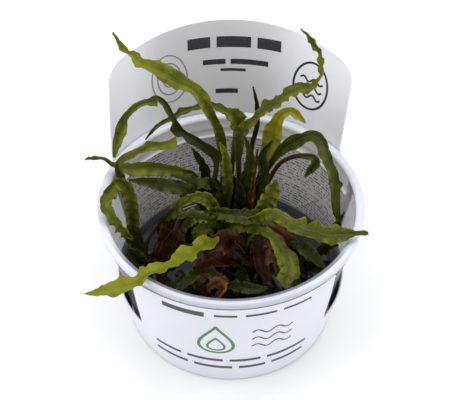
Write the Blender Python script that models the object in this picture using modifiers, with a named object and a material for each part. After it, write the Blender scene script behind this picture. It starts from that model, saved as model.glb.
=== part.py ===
"""Cryptocoryne crispatula plantlets growing on gel in a clear culture cup with a card sleeve.

Lengths are in millimetres and are turned into metres where a mesh is made. +Z is up, the
origin is the centre of the cup's base, and -Y is the front of the cup.
"""

import math
from collections import namedtuple

import bmesh
import bpy
from mathutils import Vector

MM = 0.001

# Cup: a turned, tapering shell with a flanged rim and a recess that seats a lid
CUP_HEIGHT = 57.7
RIM_RADIUS = 49.8
RIM_INNER_RADIUS = 46.8
RIM_SKIRT = 3.0
RIM_SKIN = 0.8
RIM_THICK = 1.2
RIM_ROUND = 0.5
BASE_RADIUS = 39.8
BASE_ROUND = 1.4
WALL = 1.0
FLOOR = 1.2
LEDGE_HEIGHT = 48.0
LEDGE_OUTER_RADIUS = 46.4
SEAT_OUTER_RADIUS = 47.6
CUP_STEPS = 56

# Sleeve: one card wrapped round the cup, with a tall panel at the back and open sides; its
# angles are in degrees, clockwise from the back
SLEEVE_BASE_RADIUS = 40.5
SLEEVE_SLOPE = 0.1788
SLEEVE_THICK = 0.45
SLEEVE_BOTTOM = 0.4
BAND_TOP = 21.0
FRONT_TOP = 54.2
FRONT_EDGE_ANGLES = (128.5, 228.5)
FRONT_TOP_SHARE = 0.905
HEADER_TOP = 97.0
HEADER_SHOULDER = 93.0
HEADER_CORNER = 85.0
HEADER_SHOULDER_ANGLE = 41.0
HEADER_CORNER_ANGLES = (-55.0, 54.0)
HEADER_FOOT_ANGLES = (-64.0, 57.0)
PANEL_EDGE_ANGLES = (-68.0, 75.0)

# Gel: a firm disc that fills the bottom of the cup and climbs a little at its edge
GEL_TOP = 16.5
GEL_EDGE_RISE = 0.8
GEL_EDGE_WIDTH = 2.5
GAP = 0.3

# Crowns: the short upright rootstocks that the leaves grow from
CROWN_RADIUS = 2.2
CROWN_HEIGHT = 5.0
CROWN_SIDES = 12
CROWN_PLACES = {
    "crown_left": (-5, 15),
    "crown_right": (8, 17),
    "crown_front": (1, 4),
    "crown_side_left": (-33, 5),
    "crown_side_right": (31, 5),
    "crown_low_front": (-7, -18),
}

# Leaves: ribbons along a smooth route from the foot of the stalk to the tip
LEAF_THICK = 0.7
STALK_WIDTH = 1.7
TIP_WIDTH = 0.9
TIP_SHARE = 0.32
STATION_PITCH = 6.5
FEWEST_STATIONS = 9
MOST_STATIONS = 22

FACE_VIEWER = (0.0, -0.7, 0.7)
FACE_UP = (0.0, -0.3, 0.95)
FACE_FRONT = (0.0, -1.0, 0.15)
FACE_RIGHT = (1.0, -0.2, 0.3)
FACE_LEFT = (-1.0, -0.2, 0.3)

Leaf = namedtuple("Leaf", "width stalk tone faces route")

FRESH = "fresh_leaf"
DARK = "dark_leaf"
YELLOW = "yellow_leaf"
OLD = "old_leaf"

# stalk is the share of the length that is bare stalk, and faces says which way the upper
# side looks at the foot, along the middle and at the tip
LEAVES = {
    "leaf_upper_left": Leaf(7.4, 0.34, FRESH, (FACE_FRONT, FACE_VIEWER, FACE_VIEWER), (
        (-5, 19, 18), (-3, 19, 56), (-3, 18, 67), (-5, 16, 79), (-8, 13, 90), (-12, 12, 98),
        (-19, 13, 103), (-25, 16, 105), (-33, 20, 108), (-39, 23, 110), (-41, 24, 116))),
    "leaf_left_arch": Leaf(4.6, 0.38, DARK, (FACE_FRONT, FACE_VIEWER, FACE_LEFT), (
        (-5, 11, 18), (-7, 13, 45), (-6, 13, 68), (-12, 12, 75), (-17, 12, 80), (-20, 11, 87),
        (-23, 10, 96), (-26, 9, 100), (-29, 8, 99), (-33, 7, 97), (-38, 5, 92), (-41, 3, 84),
        (-42, 1, 78))),
    "leaf_back_arch": Leaf(7.5, 0.42, DARK, (FACE_FRONT, FACE_VIEWER, FACE_VIEWER), (
        (-1, 20, 18), (1, 25, 55), (3, 25, 66), (2, 24, 77), (-3, 23, 82), (-8, 22, 86),
        (-14, 21, 85), (-20, 20, 82), (-25, 18, 80), (-28, 17, 78), (-32, 16, 73))),
    "leaf_left_long": Leaf(7.0, 0.32, FRESH, (FACE_FRONT, FACE_VIEWER, FACE_UP), (
        (-9, 16, 18), (-12, 16, 40), (-14, 16, 53), (-19, 15, 58), (-28, 14, 61), (-40, 14, 60),
        (-45, 14, 62), (-48, 14, 65), (-55, 14, 65))),
    "leaf_left_under": Leaf(6.0, 0.4, DARK, (FACE_FRONT, FACE_VIEWER, FACE_VIEWER), (
        (-9, 12, 18), (-11, 10, 44), (-17, 9, 53), (-26, 8, 57), (-33, 7, 60), (-38, 6, 62))),
    "leaf_front_left": Leaf(6.8, 0.3, FRESH, (FACE_LEFT, FACE_UP, FACE_UP), (
        (-3, 2, 18), (-6, -8, 44), (-10, -16, 50), (-17, -27, 54), (-24, -34, 58.5),
        (-32, -41, 60.5), (-41, -45, 60), (-50, -46, 59))),
    "leaf_right_over_rim": Leaf(7.0, 0.28, FRESH, (FACE_RIGHT, FACE_VIEWER, FACE_UP), (
        (5, 3, 18), (6, -2, 47), (10, -6, 54), (15, -9, 59), (21, -13, 60), (27, -17, 60),
        (33, -19, 60), (38, -20, 60), (45, -20, 61), (49, -19, 60))),
    "leaf_front_right": Leaf(7.6, 0.3, FRESH, (FACE_RIGHT, FACE_UP, FACE_VIEWER), (
        (4, 0, 18), (8, -5, 42), (12, -9, 50), (17, -14, 50), (20, -20, 48), (21, -25, 46),
        (20, -31, 43))),
    "leaf_upper_right": Leaf(5.6, 0.36, FRESH, (FACE_FRONT, FACE_VIEWER, FACE_LEFT), (
        (5, 20, 18), (3, 17, 66), (4, 16, 76), (8, 16, 83), (12, 18, 86), (20, 20, 91),
        (25, 20, 95), (29, 20, 96), (32, 20, 100), (32, 22, 106), (29, 24, 112), (24, 26, 116))),
    "leaf_spike": Leaf(2.4, 0.4, DARK, (FACE_FRONT, FACE_FRONT, FACE_FRONT), (
        (8, 21, 18), (8, 25, 60), (10, 26, 72), (10, 26, 81), (8, 26, 90))),
    "leaf_yellow": Leaf(8.2, 0.4, YELLOW, (FACE_FRONT, FACE_VIEWER, FACE_VIEWER), (
        (12, 19, 18), (14, 23, 53), (16, 24, 62), (17, 24, 72), (19, 23, 79), (22, 23, 81),
        (25, 23, 79), (28, 22, 76))),
    "leaf_right_arch": Leaf(6.4, 0.36, FRESH, (FACE_FRONT, FACE_VIEWER, FACE_RIGHT), (
        (12, 14, 18), (9, 16, 43), (14, 18, 55), (17, 19, 61), (21, 19, 66), (26, 18, 71),
        (30, 17, 74), (34, 14, 74), (36, 11, 71), (38, 6, 65), (40, 2, 58), (41, -1, 52),
        (41, -2, 47))),
    "leaf_left_loop": Leaf(5.6, 0.36, DARK, (FACE_RIGHT, FACE_UP, FACE_LEFT), (
        (-37, 4, 18), (-38, 3, 30), (-38, 2, 45), (-38, 3, 56), (-39, 3, 63), (-42, 2, 66),
        (-45, -1, 65), (-47, -5, 63), (-46, -9, 62), (-43, -11, 60.5), (-39, -12, 55),
        (-36, -11.5, 48))),
    "leaf_left_inward": Leaf(5.6, 0.5, FRESH, (FACE_FRONT, FACE_VIEWER, FACE_VIEWER), (
        (-35, 9, 18), (-40, 10, 46), (-41, 10, 56), (-41, 8, 69), (-35, 8, 73), (-28, 8, 77),
        (-24, 8, 79), (-20, 9, 80))),
    "leaf_left_slant": Leaf(3.4, 0.5, DARK, (FACE_FRONT, FACE_FRONT, FACE_UP), (
        (-34, 1, 18), (-33, 3, 30), (-28, 4, 39), (-21, 5, 47), (-16, 4, 52), (-11, 3, 55))),
    "leaf_right_wall": Leaf(4.4, 0.4, DARK, (FACE_FRONT, FACE_LEFT, FACE_LEFT), (
        (34, 3, 18), (38, 4, 28), (41.5, 4, 38), (43.3, 3, 47))),
    "leaf_right_small": Leaf(3.4, 0.7, DARK, (FACE_FRONT, FACE_VIEWER, FACE_FRONT), (
        (12, 11, 18), (12, 12, 46), (16, 14, 57), (19, 14, 63), (23.5, 12.5, 67.5),
        (27.5, 10.5, 70), (30.3, 9.5, 70.5), (31.6, 9.5, 67.5), (30.2, 11, 63), (28, 12, 57.5))),
    "leaf_right_frill": Leaf(6.4, 0.6, FRESH, (FACE_FRONT, FACE_VIEWER, FACE_VIEWER), (
        (5, 7, 18), (11, 3, 45), (14, 3, 54), (17, 5, 62))),
    "leaf_centre_left": Leaf(4.2, 0.5, FRESH, (FACE_FRONT, FACE_VIEWER, FACE_VIEWER), (
        (-2, 7, 18), (-1, 9, 44), (-1, 8, 60), (-2, 9, 72), (-4, 9, 78))),
    "leaf_centre": Leaf(5.0, 0.45, DARK, (FACE_FRONT, FACE_FRONT, FACE_FRONT), (
        (2, 8, 18), (5, 10, 46), (6, 9, 60), (7, 9, 71), (5, 9, 80))),
    "leaf_centre_right": Leaf(5.0, 0.45, DARK, (FACE_FRONT, FACE_VIEWER, FACE_FRONT), (
        (5, 9, 18), (9, 9, 45), (12, 11, 59), (12, 11, 70), (15, 11, 77))),
    "leaf_short_left": Leaf(4.6, 0.5, DARK, (FACE_FRONT, FACE_UP, FACE_UP), (
        (-4, 6, 18), (-5, 0, 42), (-9, -4, 51), (-15, -5, 55), (-20, -7, 54))),
    "leaf_inner_back": Leaf(5.0, 0.35, DARK, (FACE_FRONT, FACE_FRONT, FACE_VIEWER), (
        (-8, 19, 18), (-9, 21, 38), (-10, 22, 52), (-15, 23, 62))),
    "leaf_inner_left": Leaf(5.0, 0.3, DARK, (FACE_FRONT, FACE_VIEWER, FACE_UP), (
        (-7, 9, 18), (-9, 7, 31), (-11, 3, 41), (-13, 1, 46))),
    "leaf_inner_tall_left": Leaf(5.4, 0.25, DARK, (FACE_FRONT, FACE_FRONT, FACE_VIEWER), (
        (2, 14, 18), (0, 14, 36), (-1, 14, 50), (-3, 13, 62))),
    "leaf_inner_tall_right": Leaf(4.6, 0.25, DARK, (FACE_FRONT, FACE_FRONT, FACE_VIEWER), (
        (6, 13, 18), (5, 13, 36), (6, 13, 50), (8, 13, 62))),
    "leaf_inner_right": Leaf(5.0, 0.35, DARK, (FACE_FRONT, FACE_VIEWER, FACE_UP), (
        (9, 4, 18), (16, 2, 31), (22, -2, 38), (26, -6, 40))),
    "leaf_low_left": Leaf(5.4, 0.35, DARK, (FACE_UP, FACE_UP, FACE_UP), (
        (-10, -16, 19), (-9, -15, 31), (-12, -18, 36), (-16, -23, 38), (-20, -28, 38))),
    "leaf_low_right": Leaf(6.0, 0.35, DARK, (FACE_FRONT, FACE_UP, FACE_UP), (
        (28, 4, 18), (26, -4, 36), (30, -13, 41), (35, -21, 42))),
    "leaf_low_front": Leaf(5.0, 0.35, DARK, (FACE_UP, FACE_UP, FACE_UP), (
        (-4, -18, 19), (-1, -19, 30), (4, -22, 33), (9, -23, 33), (14, -22, 32))),
    "old_leaf_left": Leaf(8.0, 0.25, OLD, (FACE_FRONT, FACE_VIEWER, FACE_VIEWER), (
        (-10, 8, 19), (-16, 5, 34), (-21, -1, 37), (-25, -7, 32), (-28, -12, 22))),
    "old_leaf_front": Leaf(8.5, 0.3, OLD, (FACE_FRONT, FACE_UP, FACE_UP), (
        (-1, -1, 19), (1, -7, 31), (-3, -13, 37), (-8, -16, 40), (-14, -19, 40))),
    "old_leaf_middle": Leaf(5.5, 0.4, OLD, (FACE_FRONT, FACE_VIEWER, FACE_UP), (
        (2, 0, 19), (1, -4, 36), (0, -10, 43), (4, -15, 42), (8, -17, 38))),
    "old_leaf_right": Leaf(7.0, 0.3, OLD, (FACE_FRONT, FACE_VIEWER, FACE_UP), (
        (7, 1, 19), (12, -2, 34), (12, -9, 37), (12, -16, 36), (14, -20, 34))),
    "old_leaf_curl": Leaf(4.6, 0.4, OLD, (FACE_UP, FACE_UP, FACE_UP), (
        (-8, -22, 19), (-8, -22, 32), (-5, -23, 37), (-3, -27, 38), (-6, -30, 36))),
}

# name: colour (linear RGB), roughness
FINISHES = {
    "clear_plastic": ((0.80, 0.83, 0.86), 0.08),
    "card": ((0.82, 0.82, 0.87), 0.45),
    "gel": ((0.05, 0.06, 0.08), 0.12),
    "crown": ((0.10, 0.09, 0.03), 0.55),
    FRESH: ((0.20, 0.25, 0.03), 0.45),
    DARK: ((0.08, 0.12, 0.02), 0.45),
    YELLOW: ((0.34, 0.33, 0.05), 0.45),
    OLD: ((0.13, 0.05, 0.02), 0.60),
}


def clear_scene():
    """Empties the file of objects, so that the script gives the same result each run."""
    for thing in list(bpy.data.objects):
        bpy.data.objects.remove(thing, do_unlink=True)


def make_collection(name):
    """A new collection, linked to the scene."""
    collection = bpy.data.collections.new(name)
    bpy.context.scene.collection.children.link(collection)
    return collection


def make_material(name):
    """A Principled material with the finish of that name."""
    colour, roughness = FINISHES[name]
    material = bpy.data.materials.new(name)
    material.use_nodes = True
    shader = material.node_tree.nodes["Principled BSDF"]
    shader.inputs["Base Color"].default_value = (*colour, 1.0)
    shader.inputs["Roughness"].default_value = roughness
    if name == "clear_plastic":
        shader.inputs["Alpha"].default_value = 0.3
    return material


def add_object(name, bm, material, collection):
    """Makes an object from a bmesh, with a material, in a collection."""
    mesh = bpy.data.meshes.new(name)
    bm.to_mesh(mesh)
    bm.free()
    mesh.materials.append(material)
    thing = bpy.data.objects.new(name, mesh)
    collection.objects.link(thing)
    return thing


def turned_piece(name, profile, material, collection):
    """Turns a profile of (radius, height) points, which starts and ends on the axis."""
    bm = bmesh.new()
    points = [bm.verts.new((radius * MM, 0.0, height * MM)) for radius, height in profile]
    for start, end in zip(points, points[1:]):
        bm.edges.new((start, end))
    thing = add_object(name, bm, material, collection)
    screw = thing.modifiers.new("turn", "SCREW")
    screw.axis = "Z"
    screw.steps = CUP_STEPS
    screw.render_steps = CUP_STEPS
    screw.use_merge_vertices = True
    screw.merge_threshold = 0.00002
    screw.use_smooth_shade = True
    return thing


def inner_wall_radius(height):
    """Radius of the cup's inner wall at a height between its floor and its ledge."""
    low = BASE_RADIUS - WALL
    high = LEDGE_OUTER_RADIUS - WALL
    return low + (high - low) * (height - FLOOR) / (LEDGE_HEIGHT - FLOOR)


def make_cup(material, collection):
    """The cup: floor, tapering wall, lid ledge, lid seat and a flange with a short skirt."""
    seat_inner = RIM_INNER_RADIUS - 0.3
    profile = [
        (0.0, FLOOR),
        (BASE_RADIUS - WALL - BASE_ROUND, FLOOR),
        (inner_wall_radius(FLOOR + BASE_ROUND), FLOOR + BASE_ROUND),
        (inner_wall_radius(LEDGE_HEIGHT), LEDGE_HEIGHT),
        (seat_inner, LEDGE_HEIGHT + 0.4),
        (seat_inner, CUP_HEIGHT - RIM_THICK),
        (RIM_INNER_RADIUS, CUP_HEIGHT - RIM_ROUND),
        (RIM_INNER_RADIUS + RIM_ROUND, CUP_HEIGHT),
        (RIM_RADIUS - RIM_ROUND, CUP_HEIGHT),
        (RIM_RADIUS, CUP_HEIGHT - RIM_ROUND),
        (RIM_RADIUS, CUP_HEIGHT - RIM_SKIRT),
        (RIM_RADIUS - RIM_SKIN, CUP_HEIGHT - RIM_SKIRT),
        (RIM_RADIUS - RIM_SKIN, CUP_HEIGHT - RIM_THICK),
        (SEAT_OUTER_RADIUS, CUP_HEIGHT - RIM_THICK),
        (SEAT_OUTER_RADIUS, LEDGE_HEIGHT - 0.6),
        (LEDGE_OUTER_RADIUS, LEDGE_HEIGHT - 1.2),
        (BASE_RADIUS, BASE_ROUND),
        (BASE_RADIUS - 0.4 * BASE_ROUND, 0.4 * BASE_ROUND),
        (BASE_RADIUS - BASE_ROUND, 0.0),
        (0.0, 0.0),
    ]
    return turned_piece("cup", profile, material, collection)


def make_gel(material, collection):
    """The gel disc, clear of the cup by a small gap, with its edge climbing the wall."""
    bottom = FLOOR + GAP
    edge_top = GEL_TOP + GEL_EDGE_RISE
    profile = [
        (0.0, GEL_TOP),
        (inner_wall_radius(GEL_TOP) - GAP - GEL_EDGE_WIDTH, GEL_TOP),
        (inner_wall_radius(edge_top) - GAP - 0.3, edge_top),
        (inner_wall_radius(edge_top) - GAP - 0.1, edge_top - 0.4),
        (inner_wall_radius(FLOOR + BASE_ROUND) - GAP - 0.2, FLOOR + BASE_ROUND + 0.3),
        (BASE_RADIUS - WALL - BASE_ROUND - GAP, bottom),
        (0.0, bottom),
    ]
    return turned_piece("gel", profile, material, collection)


def spread(start, end, count):
    """The count values that divide the way from start to end evenly, without start."""
    return [start + (end - start) * (i + 1) / count for i in range(count)]


def sleeve_angles():
    """Angles of the sleeve's folds and columns in degrees, clockwise from the back."""
    edge_left, edge_right = PANEL_EDGE_ANGLES
    foot_left, foot_right = HEADER_FOOT_ANGLES
    corner_left, corner_right = HEADER_CORNER_ANGLES
    shoulder = HEADER_SHOULDER_ANGLE
    front_right, front_left = FRONT_EDGE_ANGLES
    angles = [edge_left]
    angles += spread(edge_left, foot_left, 1)
    angles += spread(foot_left, corner_left, 2)
    angles += spread(corner_left, -shoulder, 5)
    angles += spread(-shoulder, shoulder, 14)
    angles += spread(shoulder, corner_right, 5)
    angles += spread(corner_right, foot_right, 1)
    angles += spread(foot_right, edge_right, 2)
    angles += spread(edge_right, front_right, 7)
    angles += spread(front_right, front_left, 14)
    angles += spread(front_left, 360.0 + edge_left, 8)
    return angles


def panel_top(angle):
    """Height of the card's upper edge at an angle: the header, or just under the rim."""
    foot_left, foot_right = HEADER_FOOT_ANGLES
    corner = HEADER_CORNER_ANGLES[0 if angle < 0 else 1]
    foot = foot_left if angle < 0 else foot_right
    if abs(angle) <= HEADER_SHOULDER_ANGLE:
        share = angle / HEADER_SHOULDER_ANGLE
        return HEADER_TOP - (HEADER_TOP - HEADER_SHOULDER) * share**2
    if abs(angle) <= abs(corner):
        share = (abs(angle) - HEADER_SHOULDER_ANGLE) / (abs(corner) - HEADER_SHOULDER_ANGLE)
        drop = 1.0 - math.sqrt(1.0 - min(share, 1.0) ** 2)
        return HEADER_SHOULDER - (HEADER_SHOULDER - HEADER_CORNER) * drop
    if foot_left <= angle <= foot_right:
        share = (abs(angle) - abs(corner)) / (abs(foot) - abs(corner))
        return HEADER_CORNER - (HEADER_CORNER - CUP_HEIGHT) * share
    return FRONT_TOP


def in_window(angle):
    """True where the card leaves the side of the cup bare above its low band."""
    back = PANEL_EDGE_ANGLES[0] < angle < PANEL_EDGE_ANGLES[1]
    front = FRONT_EDGE_ANGLES[0] < angle < FRONT_EDGE_ANGLES[1]
    return not (back or front)


def make_sleeve(material, collection):
    """The card sleeve: a flat sheet cut to its outline, rolled into a cone and thickened."""
    angles = sleeve_angles()
    columns = len(angles) - 1
    bm = bmesh.new()
    bmesh.ops.create_grid(bm, x_segments=columns, y_segments=2, size=1.0)
    side = sorted({round(v.co.x, 5) for v in bm.verts})
    rows = sorted({round(v.co.y, 5) for v in bm.verts})
    column_of = {x: i for i, x in enumerate(side)}
    row_of = {y: i for i, y in enumerate(rows)}
    cut = []
    for face in bm.faces:
        centre = face.calc_center_median()
        column = max(i for i, x in enumerate(side) if x < centre.x)
        middle = 0.5 * (angles[column] + angles[column + 1])
        if centre.y > 0.0 and in_window(middle):
            cut.append(face)
    bmesh.ops.delete(bm, geom=cut, context="FACES")
    for vert in bm.verts:
        angle = angles[column_of[round(vert.co.x, 5)]]
        row = row_of[round(vert.co.y, 5)]
        height = (SLEEVE_BOTTOM, BAND_TOP, panel_top(angle))[row]
        if row == 2 and FRONT_EDGE_ANGLES[0] <= angle <= FRONT_EDGE_ANGLES[1]:
            angle = 180.0 + FRONT_TOP_SHARE * (angle - 180.0)
        radius = SLEEVE_BASE_RADIUS + SLEEVE_SLOPE * height
        turn = math.radians(angle)
        vert.co = Vector((radius * math.sin(turn), radius * math.cos(turn), height)) * MM
    bmesh.ops.remove_doubles(bm, verts=bm.verts[:], dist=0.00001)
    face_outwards(bm)
    sleeve = add_object("card_sleeve", bm, material, collection)
    card = sleeve.modifiers.new("card", "SOLIDIFY")
    card.thickness = SLEEVE_THICK * MM
    card.offset = 1.0
    return sleeve


def face_outwards(bm):
    """Turns the faces of an open sheet around the Z axis so that they look away from it."""
    bmesh.ops.recalc_face_normals(bm, faces=bm.faces[:])
    face = next(iter(bm.faces))
    centre = face.calc_center_median()
    if face.normal.x * centre.x + face.normal.y * centre.y < 0.0:
        bmesh.ops.reverse_faces(bm, faces=bm.faces[:])


def make_crown(name, place, material, collection):
    """A stubby rootstock that stands on the gel, narrower at its top."""
    bottom = GEL_TOP + GAP
    bm = bmesh.new()
    bmesh.ops.create_cone(
        bm,
        cap_ends=True,
        segments=CROWN_SIDES,
        radius1=CROWN_RADIUS * MM,
        radius2=0.6 * CROWN_RADIUS * MM,
        depth=CROWN_HEIGHT * MM,
    )
    crown = add_object(name, bm, material, collection)
    crown.location = Vector((*place, bottom + 0.5 * CROWN_HEIGHT)) * MM
    return crown


def smooth_route(points, spacing=0.5):
    """Points about spacing apart on a centripetal curve through the route's own points."""
    route = [Vector(p) for p in points]
    route = [2.0 * route[0] - route[1], *route, 2.0 * route[-1] - route[-2]]
    curve = [route[1]]
    for a, b, c, d in zip(route, route[1:], route[2:], route[3:]):
        steps = max(2, round((c - b).length / spacing))
        t0, t1 = 0.0, math.sqrt((b - a).length)
        t2 = t1 + math.sqrt((c - b).length)
        t3 = t2 + math.sqrt((d - c).length)
        for i in range(1, steps + 1):
            t = t1 + (t2 - t1) * i / steps
            ab = a.lerp(b, (t - t0) / (t1 - t0))
            bc = b.lerp(c, (t - t1) / (t2 - t1))
            cd = c.lerp(d, (t - t2) / (t3 - t2))
            abc = ab.lerp(bc, (t - t0) / (t2 - t0))
            bcd = bc.lerp(cd, (t - t1) / (t3 - t1))
            curve.append(abc.lerp(bcd, (t - t1) / (t2 - t1)))
    return curve


def even_stations(curve, count):
    """count points spread evenly along a curve."""
    lengths = [0.0]
    for start, end in zip(curve, curve[1:]):
        lengths.append(lengths[-1] + (end - start).length)
    stations = []
    place = 0
    for i in range(count):
        wanted = lengths[-1] * i / (count - 1)
        while place < len(curve) - 2 and lengths[place + 1] < wanted:
            place += 1
        share = (wanted - lengths[place]) / (lengths[place + 1] - lengths[place])
        stations.append(curve[place].lerp(curve[place + 1], share))
    return stations


def smooth_step(value):
    """0 below 0 and 1 above 1, with a smooth rise between."""
    value = min(max(value, 0.0), 1.0)
    return value * value * (3.0 - 2.0 * value)


def blade_width(leaf, share):
    """Width of the leaf at a share of its length: stalk, blade, then a drawn-out tip."""
    grown = smooth_step((share - leaf.stalk) / 0.22)
    width = STALK_WIDTH + (leaf.width - STALK_WIDTH) * grown
    taper = min(1.0, (1.0 - share) / TIP_SHARE)
    return max(TIP_WIDTH, width * math.sin(0.5 * math.pi * taper))


def face_at(leaf, share):
    """The way the leaf's upper side looks at a share of its length."""
    foot, middle, tip = (Vector(face).normalized() for face in leaf.faces)
    if share < 0.5:
        return foot.lerp(middle, 2.0 * share)
    return middle.lerp(tip, 2.0 * share - 1.0)


def make_leaf(name, leaf, material, collection):
    """A ribbon of the leaf's width along its route, thickened into a solid."""
    curve = smooth_route(leaf.route)
    length = sum((b - a).length for a, b in zip(curve, curve[1:]))
    count = min(max(round(length / STATION_PITCH), FEWEST_STATIONS), MOST_STATIONS)
    stations = even_stations(curve, count)
    bm = bmesh.new()
    bmesh.ops.create_grid(bm, x_segments=count - 1, y_segments=1, size=1.0)
    order = sorted({round(v.co.x, 5) for v in bm.verts})
    for vert in bm.verts:
        i = order.index(round(vert.co.x, 5))
        ahead = stations[min(i + 1, count - 1)] - stations[max(i - 1, 0)]
        across = face_at(leaf, i / (count - 1)).cross(ahead).normalized()
        half = 0.5 * blade_width(leaf, i / (count - 1))
        side = 1.0 if vert.co.y > 0.0 else -1.0
        vert.co = (stations[i] + across * half * side) * MM
    ribbon = add_object(name, bm, material, collection)
    solid = ribbon.modifiers.new("blade", "SOLIDIFY")
    solid.thickness = LEAF_THICK * MM
    solid.offset = 0.0
    return ribbon


def main():
    clear_scene()
    collection = make_collection("cryptocoryne_cup")
    materials = {name: make_material(name) for name in FINISHES}
    make_cup(materials["clear_plastic"], collection)
    make_sleeve(materials["card"], collection)
    make_gel(materials["gel"], collection)
    for name, place in CROWN_PLACES.items():
        make_crown(name, place, materials["crown"], collection)
    for name, leaf in LEAVES.items():
        make_leaf(name, leaf, materials[leaf.tone], collection)


main()
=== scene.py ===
"""Looks for cryptocoryne crispatula plantlets on gel in a clear cup with a card sleeve.

Routes and sizes are in millimetres, as in the CAD model, and MM turns them into metres.
"""

import math
import random
from collections import namedtuple

import bmesh
import bpy
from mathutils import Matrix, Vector, noise


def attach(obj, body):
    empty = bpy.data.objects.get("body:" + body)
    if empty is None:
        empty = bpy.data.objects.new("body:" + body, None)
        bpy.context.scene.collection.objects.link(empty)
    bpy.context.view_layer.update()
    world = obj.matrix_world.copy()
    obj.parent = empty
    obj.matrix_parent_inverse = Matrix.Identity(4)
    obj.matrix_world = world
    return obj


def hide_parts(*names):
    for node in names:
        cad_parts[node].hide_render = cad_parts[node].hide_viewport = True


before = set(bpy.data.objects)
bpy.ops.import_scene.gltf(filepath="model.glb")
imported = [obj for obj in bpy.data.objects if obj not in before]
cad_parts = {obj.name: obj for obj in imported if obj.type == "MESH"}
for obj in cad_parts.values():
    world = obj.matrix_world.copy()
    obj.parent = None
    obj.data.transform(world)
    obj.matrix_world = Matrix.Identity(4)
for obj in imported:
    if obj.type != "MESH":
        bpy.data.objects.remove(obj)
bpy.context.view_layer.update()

MM = 0.001
BODY = "root"

# Cup, as in the CAD model, and how many steps its turned shape has
CUP_HEIGHT = 57.7
RIM_RADIUS = 49.8
RIM_INNER_RADIUS = 46.8
RIM_SKIRT = 3.0
RIM_SKIN = 0.8
BASE_RADIUS = 39.8
BASE_ROUND = 1.4
WALL = 1.0
FLOOR = 1.2
LEDGE_HEIGHT = 48.0
LEDGE_OUTER_RADIUS = 46.4
SEAT_OUTER_RADIUS = 47.6
CUP_STEPS = 192

# Over what depth the rim's plastic turns darker at its front, as painted shade
FRONT_SHADE_DEPTH = 16.0

# Card sleeve, as in the CAD model, but for a front panel that is 0.8 higher; angles are in
# degrees, clockwise from the back
SLEEVE_BASE_RADIUS = 40.5
SLEEVE_SLOPE = 0.1788
SLEEVE_THICK = 0.45
SLEEVE_BOTTOM = 0.4
BAND_TOP = 21.0
FRONT_TOP = 55.0
FRONT_EDGE_ANGLES = (128.5, 228.5)
FRONT_TOP_SHARE = 0.905
HEADER_TOP = 97.0
HEADER_SHOULDER = 93.0
HEADER_CORNER = 85.0
HEADER_SHOULDER_ANGLE = 41.0
HEADER_CORNER_ANGLES = (-55.0, 54.0)
HEADER_FOOT_ANGLES = (-64.0, 57.0)
PANEL_EDGE_ANGLES = (-68.0, 75.0)

# Fine print inside the card: height of a row, and how far up, down, left and right it goes
PRINT_ROW = 1.25
PRINT_TOP = 46.0
PRINT_BOTTOM = 17.5
PRINT_LEFT = -50.5
PRINT_RIGHT = 59.0

# Gel and crowns, as in the CAD model, and the roots and the scraps on the gel
GEL_TOP = 16.5
GEL_EDGE_RISE = 0.8
GEL_EDGE_WIDTH = 2.5
GEL_STEPS = 120
GEL_RINGS = 30
GAP = 0.3
CROWN_RADIUS = 2.2
CROWN_HEIGHT = 5.0
CROWN_SIDES = 40
CROWN_ROWS = 16
ROOTS_PER_CROWN = 7
ROOT_STEPS = 13
ROOT_SEED = 41
SCRAP_COUNT = 70
SCRAP_SIDES = 9
SCRAP_FIELD_RADIUS = 31.0
SCRAP_FIELD_SHIFT = -3.0
SCRAP_LIFT = 0.35
SCRAP_SEED = 17
CROWN_PLACES = {
    "crown_left": (-5, 15),
    "crown_right": (8, 17),
    "crown_front": (1, 4),
    "crown_side_left": (-33, 5),
    "crown_side_right": (31, 5),
    "crown_low_front": (-7, -18),
}

# Leaves: the routes are the CAD model's, and the rest is how each blade grows along them
SIDES = (-1, 1)
STALK_WIDTH = 1.5
STATION_PITCH = 0.5
COLUMNS = 12
BLADE_HALF = 0.10
FULL_WIDTH = 5.0
GROWTH_SHARE = 0.12
PLEAT_PITCH = 2.1
RIB_SHIFT = 0.25
RIB_DEPTH = 0.34
RIB_WIDTH = 0.42
RIB_GROOVE = 0.12
# How much painted light a ruffle's raised edge gets, and how much painted shade its notches get
WAVE_PAINTED_LIGHT = 0.16
NOTCH_SHADE = 0.7
FLAT_UNIT = 10.0
SMALL_LEAF_SEED = 100

FACE_VIEWER = (0.0, -0.7, 0.7)
FACE_UP = (0.0, -0.3, 0.95)
FACE_FRONT = (0.0, -1.0, 0.15)
FACE_RIGHT = (1.0, -0.2, 0.3)
FACE_LEFT = (-1.0, -0.2, 0.3)

# faces: the way the upper side looks at the leaf's foot, middle and tip
# widths: share of the length with the blade's width there, or with its reach to the left and to
# the right
# light: how bright the blade is at its foot, middle and tip; ruddy: how brown the stalk is
# wave: height and length of the ruffles along the edge, and how deep it is notched
Leaf = namedtuple("Leaf", "tone faces route widths light ruddy wave")

FRESH = "fresh_leaf"
DARK = "dark_leaf"
YELLOW = "yellow_leaf"
OLD = "old_leaf"
FADED = "faded_leaf"

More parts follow.
